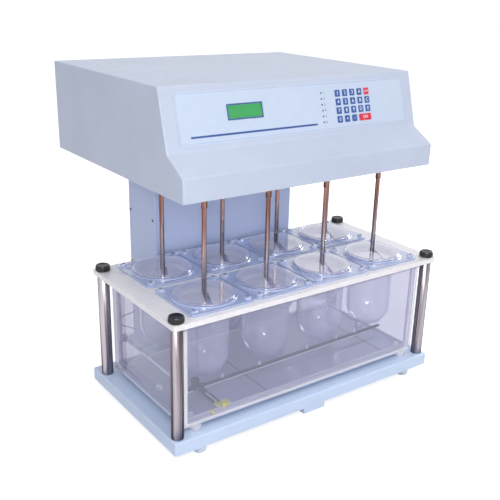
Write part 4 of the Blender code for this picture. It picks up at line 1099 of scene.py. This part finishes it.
def make_bath_tubes():
    """Sensor tube and supply tube with their fittings, and white rods painted as highlights
    on the supply pipe and its branch.
    """
    low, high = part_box("probe_tube")
    centre = Vector(((low.x + high.x) / 2, low.y, (low.z + high.z) / 2))
    length = high.y - low.y
    tube = bmesh.new()
    level_rod(tube, [(0, 0), (0.0030, 0.0003), (0.0035, 0.001), (0.0035, length), (0, length)],
              centre, (0, 1, 0))
    put("sensor_tube", to_mesh("sensor_tube", tube, 0.01), TUBE_PALE, slot="tube_steel",
        replaced=("probe_tube",))
    ring = bmesh.new()
    level_rod(ring, [(0.0040, length - 0.009), (0.0075, length - 0.009), (0.0090, length - 0.0078),
                     (0.0090, length - 0.0015), (0.0082, length - 0.0003),
                     (0.0040, length - 0.0003), (0.0040, length - 0.009)], centre, (0, 1, 0))
    put("sensor_fitting", to_mesh("sensor_fitting", ring, 0.01), NOZZLE_AND_HIGHLIGHT)
    low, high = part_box("supply_tube")
    y = high.y - 0.0065
    z = (low.z + high.z) / 2
    start = Vector((low.x, y, z - PIPE_FALL))
    along = Vector((high.x, y, z)) - start
    length = along.length
    along.normalize()
    tube = bmesh.new()
    level_rod(tube, [(0, 0), (0.0034, 0), (0.0034, length), (0, length)], start, along)
    put("supply_pipe", to_mesh("supply_pipe", tube, 0.01), FITTING, slot="tube_steel",
        replaced=("supply_tube",))
    # White rod under the supply pipe: a painted highlight along its underside
    pipe_highlight = bmesh.new()
    level_rod(pipe_highlight, [(0, -0.012), (0.0015, -0.012), (0.0015, length * 0.86), (0, length * 0.86)],
              start + Vector((0, -0.0030, -0.0050)), along, 16)
    put("supply_rail", to_mesh("supply_rail", pipe_highlight, 0.01), NOZZLE_AND_HIGHLIGHT, slot="tube_steel")
    tee = start + along * 0.022
    fork = bmesh.new()
    level_rod(fork, [(0.0031, 0.001), (0.0060, 0.001), (0.0064, 0.0025), (0.0064, 0.007),
                     (0.0058, 0.0085), (0.0058, 0.0215), (0.0064, 0.023), (0.0064, 0.0275),
                     (0.0060, 0.029), (0.0031, 0.029), (0.0031, 0.001)],
              tee - along * 0.015, along)
    level_rod(fork, [(0, 0.004), (0.0055, 0.004), (0.0055, 0.0105), (0.0062, 0.0115),
                     (0.0062, 0.016), (0.0045, 0.0175), (0.0038, 0.032), (0, 0.032)],
              tee, (0, -1, 0))
    add_block(fork, tee + Vector((-0.0135, -0.0060, 0.0045)),
              tee + Vector((0.0005, 0.0060, 0.0225)))
    put("tee_fitting", to_mesh("tee_fitting", fork, 0.00008), FITTING, slot="knob_black")
    rods = bmesh.new()
    reach = y - low.y
    for side in (-0.0052, 0.0052):
        level_rod(rods, [(0, 0.016), (0.0026, 0.016), (0.0026, reach - 0.006), (0, reach - 0.006)],
                  tee + Vector((side, 0, 0)), (0, -1, 0), 16)
    put("branch_rods", to_mesh("branch_rods", rods, 0.01), FITTING, slot="tube_steel")
    # White rod between the two dark branch rods: a painted highlight between them
    core = bmesh.new()
    level_rod(core, [(0, 0.033), (0.0021, 0.033), (0.0021, reach - 0.006), (0, reach - 0.006)],
              tee, (0, -1, 0), 16)
    put("branch_core", to_mesh("branch_core", core, 0.01), NOZZLE_AND_HIGHLIGHT, slot="tube_steel")
    plug = bmesh.new()
    for side, back, radius in ((-0.0045, 0.016, 0.0050), (0.0060, 0.011, 0.0060),
                               (0.0165, 0.013, 0.0052), (-0.0270, 0.004, 0.0024)):
        level_rod(plug, [(0, reach - back), (radius, reach - back + 0.001),
                         (radius, reach - back + 0.013), (radius * 0.7, reach - back + 0.016),
                         (0, reach - back + 0.0165)],
                  tee + Vector((side, 0, radius - 0.0045)), (0, -1, 0), 12)
    put("yellow_plug", to_mesh("yellow_plug", plug, 0.00002), YELLOW)
    jets = bmesh.new()
    for x in JET_PLACES:
        share = (x - low.x) / (high.x - low.x)
        foot = start.z + PIPE_FALL * share + 0.0035
        add_turned(jets, [(0, foot), (0.0032, foot), (0.0026, foot + 0.0070),
                          (0.0016, foot + 0.0085), (0, foot + 0.0085)], 20, (x, y))
    put("supply_jets", to_mesh("supply_jets", jets, 0.01), NOZZLE_AND_HIGHLIGHT, slot="tube_steel")


WIRE_X = -0.3115
WIRE_RUNS = (((0.0255, 0.1850), (0.0126, 0.1933), (-0.0170, 0.2100), (-0.0456, 0.2276)),
             ((0.0255, 0.1640), (0.0147, 0.1665), (-0.0130, 0.1750), (-0.0427, 0.1809)),
             ((-0.0483, 0.1345), (-0.0850, 0.1572), (-0.1210, 0.1785)))
WIRE_RADIUS = 0.0011
WIRE_BEND = 0.008


def make_sensor_wires():
    """Thin wires that run down inside the tank's left panel to the sensor tube."""
    points, edges = [], []
    for run in WIRE_RUNS:
        first = len(points)
        points += [(WIRE_X, y, z) for y, z in run]
        edges += [(first + i, first + i + 1) for i in range(len(run) - 1)]
    mesh = grow(WIRE_TREE, bmesh.new(), FITTING, points, edges, Radius=WIRE_RADIUS,
                Bend=WIRE_BEND)
    put("sensor_wires", mesh, FITTING, slot="knob_black")


def make_plate_bolts():
    """Bolt ends and nuts that hang under the vessel plate, beside each station."""
    shape = bmesh.new()
    top = PLATE_LOW.z - GAP
    for place in STATIONS:
        x = place.x - 0.050
        side = -1 if place.y < (PLATE_LOW.y + PLATE_HIGH.y) / 2 else 1
        y = place.y + side * 0.0520
        add_turned(shape, [(0, top - 0.026), (0.0015, top - 0.026), (0.0020, top - 0.0255),
                           (0.0020, top - 0.0062), (0, top - 0.0062)], 16, (x, y))
        add_turned(shape, [(0, top - 0.006), (0.0038, top - 0.006), (0.0042, top - 0.0055),
                           (0.0042, top - 0.0015), (0.0038, top - 0.001), (0, top - 0.001)],
                   6, (x, y))
        add_turned(shape, [(0, top - 0.001), (0.0052, top - 0.001), (0.0052, top),
                           (0, top)], 24, (x, y))
    put("plate_bolts", to_mesh("plate_bolts", shape, 0.00002), SCREW_STEEL)


# Column
def make_column():
    """Folded column with rounded edges, its screws and its back cover."""
    low, high = COLUMN_LOW, COLUMN_HIGH
    shape = bmesh.new()
    outline = rounded(rectangle(low.x, high.x, low.y, high.y), 0.0025, sharp=(2, 3))
    add_prism(shape, outline, low.z, high.z)
    rear = [face for face in shape.faces if all(v.co.y > high.y - GAP for v in face.verts)]
    bmesh.ops.delete(shape, geom=rear, context="FACES_ONLY")
    bmesh.ops.recalc_face_normals(shape, faces=shape.faces)
    bmesh.ops.solidify(shape, geom=shape.faces, thickness=0.0018)
    put("column_cover", to_mesh("column_cover", shape), PAINT_COLUMN, slot="base_paint",
        replaced=("column_shell",))
    side_places = [Vector((low.x, y, z)) for y, z in ((0.080, 0.379), (0.190, 0.380),
                                                      (0.190, 0.2465), (0.080, 0.2465),
                                                      (0.080, 0.110), (0.190, 0.110))]
    screws("column_screws_left", side_places, (-1, 0, 0), 0.0032, 0.0014)
    right_places = [Vector((high.x, place.y, place.z)) for place in side_places]
    screws("column_screws_right", right_places, (1, 0, 0), 0.0032, 0.0014)
    cover_low, cover_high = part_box("column_back_cover")
    plate = bmesh.new()
    add_block(plate, cover_low, cover_high)
    soften(plate, 0.0004, 2)
    put("rear_cover", to_mesh("rear_cover", plate), PAINT_COLUMN, slot="base_paint",
        replaced=("column_back_cover",))
    inset = 0.009
    places = []
    for x in (cover_low.x + inset, 0, cover_high.x - inset):
        for z in (cover_low.z + inset, (cover_low.z + cover_high.z) / 2, cover_high.z - inset):
            if x or abs(z - (cover_low.z + cover_high.z) / 2) > inset:
                places.append(Vector((x, cover_high.y, z)))
    screws("rear_cover_screws", places, (0, 1, 0), 0.0032, 0.0014)


# Head
def head_corners():
    """Side view of the head: lip, ledge, sloped panel, top and back."""
    lip_top = HEAD_LOW.z + LIP_HEIGHT
    return [Vector(point) for point in (
        (HEAD_LOW.y, HEAD_LOW.z), (HEAD_HIGH.y, HEAD_LOW.z), (HEAD_HIGH.y, HEAD_HIGH.z),
        PANEL_TOP.yz, PANEL_BOTTOM.yz, (HEAD_LOW.y, lip_top))]


def make_head_cover():
    """One-piece cover with rounded bends, open below and behind."""
    shape = bmesh.new()
    add_prism(shape, rounded(head_corners(), HEAD_BEND, sharp=(0, 1, 2)),
              HEAD_LOW.x, HEAD_HIGH.x, "X")
    gone = [face for face in shape.faces
            if all(v.co.z < HEAD_LOW.z + GAP for v in face.verts)
            or all(v.co.y > HEAD_HIGH.y - GAP for v in face.verts)]
    bmesh.ops.delete(shape, geom=gone, context="FACES_ONLY")
    bmesh.ops.recalc_face_normals(shape, faces=shape.faces)
    sides = [edge for edge in shape.edges if len(edge.link_faces) == 2
             and any(abs(face.normal.x) > 0.9 for face in edge.link_faces)
             and edge.calc_face_angle() > math.radians(60)]
    bmesh.ops.bevel(shape, geom=sides, offset=SIDE_BEND, segments=4, profile=0.5,
                    affect="EDGES", clamp_overlap=True)
    bmesh.ops.solidify(shape, geom=shape.faces, thickness=0.0018)
    put("head_shell", to_mesh("head_shell", shape), PAINT_HEAD, slot="head_paint",
        replaced=("head_cover",))


VENT_COLUMNS = 22
VENT_ROWS = 2
VENT_WIDTH = 0.200
VENT_HEIGHT = 0.036


def make_head_back():
    """Back panel with louvres, screws, a mains inlet and the power switch."""
    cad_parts["head_back_panel"].data.materials.clear()
    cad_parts["head_back_panel"].data.materials.append(PAINT_HEAD)
    louvre = bmesh.new()
    level_rod(louvre, [(0, -0.013), (0.0012, -0.0125), (0.0015, -0.011), (0.0015, 0.011),
                       (0.0012, 0.0125), (0, 0.013)], Vector((0, 0, 0)), (0, 1, 0), 12)
    turn = Matrix.Rotation(math.radians(90), 4, "X")
    vents = grow(GRID_TREE, louvre, PAINT_HEAD, centre=(0.13, BACK_HIGH.y, 0.62), turn=turn,
                 Columns=VENT_COLUMNS, Rows=VENT_ROWS, Width=VENT_WIDTH, Height=VENT_HEIGHT)
    put("back_louvres", vents, PAINT_HEAD, slot="head_paint")
    places = []
    for x in (BACK_LOW.x + 0.012, BACK_LOW.x + 0.22, BACK_HIGH.x - 0.22, BACK_HIGH.x - 0.012):
        for z in (BACK_LOW.z + 0.010, BACK_HIGH.z - 0.010):
            places.append(Vector((x, BACK_HIGH.y, z)))
    screws("back_panel_screws", places, (0, 1, 0), 0.0032, 0.0014)
    socket_x = (ROCKER_LOW.x + ROCKER_HIGH.x) / 2 + 0.042
    socket_z = (ROCKER_LOW.z + ROCKER_HIGH.z) / 2
    rim = bmesh.new()
    add_prism(rim, rounded(rectangle(socket_x - 0.016, socket_x + 0.016,
                                     socket_z - 0.012, socket_z + 0.012), 0.003),
              BACK_HIGH.y + GAP, BACK_HIGH.y + 0.0018, "Y",
              [rounded(rectangle(socket_x - 0.0118, socket_x + 0.0118,
                                 socket_z - 0.0078, socket_z + 0.0078), 0.002)])
    put("inlet_rim", to_mesh("inlet_rim", rim), BLACK, slot="knob_black")
    pins = bmesh.new()
    for x, z in ((-0.007, -0.002), (0, 0.003), (0.007, -0.002)):
        add_block(pins, (socket_x + x - 0.001, BACK_HIGH.y - 0.0158, socket_z + z - 0.002),
                  (socket_x + x + 0.001, BACK_HIGH.y - 0.003, socket_z + z + 0.002))
    soften(pins, 0.0004, 2)
    put("inlet_pins", to_mesh("inlet_pins", pins), TUBE_STEEL, slot="tube_steel")
    switch_x = (ROCKER_LOW.x + ROCKER_HIGH.x) / 2
    bezel = bmesh.new()
    add_prism(bezel, rounded(rectangle(switch_x - 0.0095, switch_x + 0.0095,
                                       socket_z - 0.0140, socket_z + 0.0140), 0.002),
              BACK_HIGH.y + GAP, BACK_HIGH.y + 0.0015, "Y",
              [rectangle(switch_x - 0.0068, switch_x + 0.0068,
                         socket_z - 0.0112, socket_z + 0.0112)])
    put("switch_frame", to_mesh("switch_frame", bezel), BLACK, slot="knob_black")


# Control panel
def panel_place(x, down, out=0.0):
    """Place on the sloped panel, from its top edge down."""
    return PANEL_TOP + Vector((x, 0, 0)) - PANEL_UP * down + PANEL_OUT * out


def panel_matrix(x, down, out=0.0):
    """Frame on the panel: right, up the slope, out of it."""
    axes = Matrix((Vector((1, 0, 0)), PANEL_UP, PANEL_OUT)).transposed().to_4x4()
    return Matrix.Translation(panel_place(x, down, out)) @ axes


def panel_piece(name, outline, x, down, low, high, material, slot, bend=0.0, holes=(), **rest):
    """Flat piece on the panel, swept from low to high above the sheet."""
    shape = bmesh.new()
    add_prism(shape, outline, low, high, holes=holes)
    if bend:
        bmesh.ops.recalc_face_normals(shape, faces=shape.faces)
        soften(shape, bend, 2)
    mesh = to_mesh(name, shape)
    mesh.transform(panel_matrix(x, down))
    return put(name, mesh, material, slot=slot, **rest)


def key_shape(width):
    """Domed key cap."""
    shape = bmesh.new()
    outline = rounded(rectangle(-width / 2, width / 2, -KEY_HEIGHT / 2, KEY_HEIGHT / 2),
                      KEY_CORNER)
    add_prism(shape, outline, 0, KEY_RISE)
    top = [face for face in shape.faces if all(v.co.z > KEY_RISE / 2 for v in face.verts)]
    bmesh.ops.recalc_face_normals(shape, faces=shape.faces)
    bmesh.ops.inset_region(shape, faces=top, thickness=0.0008, depth=0.00025)
    return shape


def print_text(name, words, size, matrix, material):
    """Printed letters, laid flat on a surface."""
    curve = bpy.data.curves.new(name, "FONT")
    curve.body = words
    curve.size = size
    curve.align_x = "CENTER"
    curve.align_y = "CENTER"
    curve.extrude = PRINT_RISE / 2
    curve.resolution_u = 3
    holder = bpy.data.objects.new(name, curve)
    bpy.context.scene.collection.objects.link(holder)
    graph = bpy.context.evaluated_depsgraph_get()
    mesh = bpy.data.meshes.new_from_object(holder.evaluated_get(graph))
    bpy.data.objects.remove(holder, do_unlink=True)
    bpy.data.curves.remove(curve)
    mesh.transform(matrix)
    mesh.materials.clear()
    return put(name, mesh, material)


def make_display():
    """Green display behind its blue bezel."""
    low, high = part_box("display_window")
    width = BEZEL_RIGHT - BEZEL_LEFT
    height = BEZEL_BOTTOM - BEZEL_TOP
    x = (BEZEL_LEFT + BEZEL_RIGHT) / 2
    down = (BEZEL_TOP + BEZEL_BOTTOM) / 2
    outline = rounded(rectangle(-width / 2, width / 2, -height / 2, height / 2), 0.0012)
    window = rectangle(BEZEL_BAND - width / 2, width / 2 - BEZEL_BAND,
                       BEZEL_BAND - height / 2, height / 2 - BEZEL_BAND)
    panel_piece("display_bezel", outline, x, down, OVERLAY_RISE + GAP / 2, OVERLAY_RISE + 0.0009,
                BEZEL, "display_green", 0.0003, holes=[window])
    panel_piece("display_pane", rectangle(GAP + BEZEL_BAND - width / 2,
                                          width / 2 - BEZEL_BAND - GAP,
                                          GAP + BEZEL_BAND - height / 2,
                                          height / 2 - BEZEL_BAND - GAP),
                x, down, GAP, OVERLAY_RISE + 0.0004, DISPLAY, "display_green", 0.0002,
                replaced=("display_window",))


def make_keys():
    """Keypad of domed keys with plain figures, and its two red keys."""
    columns, rows = 5, 4
    centre_x = KEY_FIRST_X + KEY_PITCH_X * (columns - 1) / 2
    centre_down = KEY_FIRST_DOWN + KEY_PITCH_DOWN * (rows - 1) / 2
    top = OVERLAY_RISE + GAP / 2
    spots = [(column, row) for row in range(rows) for column in range(columns)
             if (column, row) != (4, 0) and not (row == 3 and column > 2)]
    places = [Vector(((column - (columns - 1) / 2) * KEY_PITCH_X,
                      ((rows - 1) / 2 - row) * KEY_PITCH_DOWN, 0)) for column, row in spots]
    keys = grow(POINTS_TREE, key_shape(KEY_WIDTH), KEY_BLUE_FILM, places)
    keys.transform(panel_matrix(centre_x, centre_down, top))
    put("blue_keys", keys, KEY_BLUE_FILM, slot="overlay_film")
    last = KEY_FIRST_X + KEY_PITCH_X * (columns - 1)
    red = to_mesh("red_key", key_shape(KEY_WIDTH))
    red.transform(panel_matrix(last, KEY_FIRST_DOWN, top))
    put("red_key", red, KEY_RED_FILM, slot="overlay_film")
    wide = to_mesh("wide_red_key", key_shape(KEY_WIDTH + KEY_PITCH_X))
    last_down = KEY_FIRST_DOWN + KEY_PITCH_DOWN * (rows - 1)
    wide.transform(panel_matrix(last - KEY_PITCH_X / 2, last_down, top))
    put("wide_red_key", wide, KEY_RED_FILM, slot="overlay_film")
    figures = ("1", "2", "3", "A", "4", "5", "6", "B", "C", "7", "8", "9", "D", "E",
               "0", "+", "-")
    face = top + KEY_RISE + 0.00035
    for (column, row), figure in zip(spots, figures):
        matrix = panel_matrix(KEY_FIRST_X + KEY_PITCH_X * column,
                              KEY_FIRST_DOWN + KEY_PITCH_DOWN * row, face)
        print_text(f"figure_{row}_{column}", figure, 0.0105, matrix, INK_WHITE)
    print_text("figure_off", "OFF", 0.0062, panel_matrix(last, KEY_FIRST_DOWN, face), INK_WHITE)
    print_text("figure_on", "ON", 0.0095,
               panel_matrix(last - KEY_PITCH_X / 2, last_down, face), INK_WHITE)


def make_panel_print():
    """Indicator lamps with their numbers, the long blue line and the panel's thin border."""
    left, right = HEAD_LOW.x + OVERLAY_SIDE_MARGIN, HEAD_HIGH.x - OVERLAY_SIDE_MARGIN
    high = (OVERLAY_BOTTOM - OVERLAY_TOP) / 2 - BORDER_INSET
    wide = (right - left) / 2 - BORDER_INSET
    outer = rectangle(-wide, wide, -high, high)
    inner = rectangle(BORDER_WIDTH - wide, wide - BORDER_WIDTH, BORDER_WIDTH - high,
                      high - BORDER_WIDTH)
    panel_piece("panel_border", outer, (left + right) / 2, (OVERLAY_TOP + OVERLAY_BOTTOM) / 2,
                OVERLAY_RISE + GAP / 4, OVERLAY_RISE + GAP / 2, INK_BORDER, "overlay_film",
                holes=[inner])
    length = LINE_RIGHT - LINE_LEFT
    panel_piece("blue_line", rectangle(-length / 2, length / 2, -LINE_WIDTH / 2, LINE_WIDTH / 2),
                (LINE_LEFT + LINE_RIGHT) / 2, LINE_DOWN, OVERLAY_RISE + GAP / 4,
                OVERLAY_RISE + GAP, LINE_FILM, "overlay_film")
    lamp = bmesh.new()
    add_turned(lamp, [(0, 0), (LAMP_RADIUS, 0), (LAMP_RADIUS, 0.0004),
                      (LAMP_RADIUS * 0.6, 0.0008), (0, 0.0010)], 24)
    places = [Vector((0, -LAMP_PITCH * i, 0)) for i in range(6)]
    lamps = grow(POINTS_TREE, lamp, INK_GREY, places)
    lamps.transform(panel_matrix(LAMP_X, LAMP_FIRST_DOWN, OVERLAY_RISE + GAP / 2))
    put("indicator_lamps", lamps, INK_GREY, slot="overlay_film")
    for i in range(6):
        matrix = panel_matrix(LAMP_X + 0.0075, LAMP_FIRST_DOWN + LAMP_PITCH * i,
                              OVERLAY_RISE + PRINT_RISE)
        print_text(f"lamp_number_{i + 1}", str(i + 1), 0.0080, matrix, INK_GREY)


def finish_cad_nodes():
    """Finish of the CAD nodes whose shape is right as it is."""
    finishes = {"control_overlay": FILM, "head_floor": PAINT_HEAD, "head_back_panel": PAINT_HEAD,
                "power_switch": BLACK, "drive_belt": RUBBER, "drive_motor": CASING,
                "motor_pulley": TUBE_STEEL}
    for node, material in finishes.items():
        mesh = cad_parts[node].data
        mesh.materials.clear()
        mesh.materials.append(material)


# Camera, floor and light
CAMERA_PLACE = Vector((-0.9948, -1.4119, 0.9098))
CAMERA_YAW = math.radians(36.56)
CAMERA_PITCH = math.radians(-20.2068)
CAMERA_ROLL = math.radians(1.6269)
CAMERA_LENS = 54.59
CAMERA_SHIFT_X = -0.01857
CAMERA_SHIFT_Y = 0.01692


def make_camera():
    """Camera at the photograph's viewing angle."""
    forward = Vector((math.sin(CAMERA_YAW) * math.cos(CAMERA_PITCH),
                      math.cos(CAMERA_YAW) * math.cos(CAMERA_PITCH), math.sin(CAMERA_PITCH)))
    right = forward.cross(Vector((0, 0, 1))).normalized()
    up = right.cross(forward)
    tilted_right = right * math.cos(CAMERA_ROLL) + up * math.sin(CAMERA_ROLL)
    tilted_up = up * math.cos(CAMERA_ROLL) - right * math.sin(CAMERA_ROLL)
    lens = bpy.data.cameras.new("camera")
    lens.lens = CAMERA_LENS
    lens.sensor_width = 36.0
    lens.shift_x = CAMERA_SHIFT_X
    lens.shift_y = CAMERA_SHIFT_Y
    camera = bpy.data.objects.new("camera", lens)
    axes = Matrix((tilted_right, tilted_up, -forward)).transposed().to_4x4()
    camera.matrix_world = Matrix.Translation(CAMERA_PLACE) @ axes
    bpy.context.scene.collection.objects.link(camera)
    bpy.context.scene.camera = camera


FLOOR_HALF = 12.0
FLOOR_GLOW = 0.75
FLOOR_COLOUR = (0.56, 0.56, 0.58, 1)


def seen_rays(tree):
    """1 for rays from the camera, off gloss and through glass, else 0."""
    path = add_node(tree, "ShaderNodeLightPath")
    both = add_node(tree, "ShaderNodeMath", operation="MAXIMUM")
    tree.links.new(path.outputs["Is Camera Ray"], both.inputs[0])
    tree.links.new(path.outputs["Is Glossy Ray"], both.inputs[1])
    every = add_node(tree, "ShaderNodeMath", operation="MAXIMUM")
    tree.links.new(both.outputs[0], every.inputs[0])
    tree.links.new(path.outputs["Is Transmission Ray"], every.inputs[1])
    return every.outputs[0]


def make_floor():
    """White floor that keeps the object's soft shadow."""
    shape = bmesh.new()
    add_prism(shape, rectangle(-FLOOR_HALF, FLOOR_HALF, -FLOOR_HALF, FLOOR_HALF), -0.02, -0.0002)
    floor = bpy.data.objects.new("floor", to_mesh("floor", shape))
    bpy.context.scene.collection.objects.link(floor)
    material, tree, shader = new_material("white_floor")
    shader.inputs["Base Color"].default_value = FLOOR_COLOUR
    shader.inputs["Roughness"].default_value = 0.9
    shader.inputs["Specular IOR Level"].default_value = 0.0
    glow = add_node(tree, "ShaderNodeEmission")
    lit = add_node(tree, "ShaderNodeMath", operation="MULTIPLY")
    tree.links.new(seen_rays(tree), lit.inputs[0])
    lit.inputs[1].default_value = FLOOR_GLOW
    tree.links.new(lit.outputs[0], glow.inputs["Strength"])
    both = add_node(tree, "ShaderNodeAddShader")
    tree.links.new(shader.outputs[0], both.inputs[0])
    tree.links.new(glow.outputs[0], both.inputs[1])
    tree.links.new(both.outputs[0], tree.nodes["Material Output"].inputs["Surface"])
    floor.data.materials.append(material)


WORLD_LIGHT = 0.60
LAMPS = (("high_front", (0.6, -2.2, 3.6), 2.2, 36.0, (1.0, 0.99, 0.97)),
         ("low_front", (-1.2, -4.1, 0.9), 1.8, 33.0, (1.0, 0.98, 0.93)),
         ("left", (-3.0, -1.6, 1.6), 2.2, 7.0, (0.86, 0.87, 1.0)),
         ("right", (2.8, 0.2, 0.75), 0.9, 52.0, (1.0, 1.0, 1.0)),
         ("top", (0.0, 0.6, 3.4), 2.4, 7.0, (1.0, 1.0, 1.0)),
         ("flash", (-1.01, -1.44, 0.98), 0.26, 5.0, (1.0, 1.0, 1.0)),
         ("glint", (-1.01, -1.44, 0.98), 0.28, 40.0, (1.0, 1.0, 1.0)))


def make_light():
    """White surround, soft lamps and a small flash for the glints in the glass."""
    world = bpy.data.worlds.new("surround")
    bpy.context.scene.world = world
    world.use_nodes = True
    tree = world.node_tree
    background = tree.nodes["Background"]
    background.inputs["Color"].default_value = (1, 1, 1, 1)
    strength = add_node(tree, "ShaderNodeMapRange")
    tree.links.new(seen_rays(tree), strength.inputs["Value"])
    strength.inputs["To Min"].default_value = WORLD_LIGHT
    strength.inputs["To Max"].default_value = 1.0
    tree.links.new(strength.outputs["Result"], background.inputs["Strength"])
    target = Vector((0, 0, 0.3))
    for name, place, size, power, colour in LAMPS:
        lamp = bpy.data.lights.new(name, "AREA")
        lamp.shape = "SQUARE"
        lamp.size = size
        lamp.energy = power
        lamp.color = colour
        holder = bpy.data.objects.new(name, lamp)
        holder.location = place
        holder.rotation_euler = (target - Vector(place)).to_track_quat("-Z", "Y").to_euler()
        holder.visible_diffuse = name != "glint"
        bpy.context.scene.collection.objects.link(holder)


make_camera()
make_floor()
make_light()
make_base()
make_feet()
make_posts()
make_knobs()
make_vessel_plate()
make_centring_plates()
make_vessels()
make_lids()
make_paddles()
make_bath()
make_bath_seams()
make_bath_tubes()
make_sensor_wires()
make_plate_bolts()
make_column()
make_head_cover()
make_head_back()
make_display()
make_keys()
make_panel_print()
finish_cad_nodes()

bpy.context.scene.view_settings.view_transform = "Standard"
bpy.context.view_layer.update()
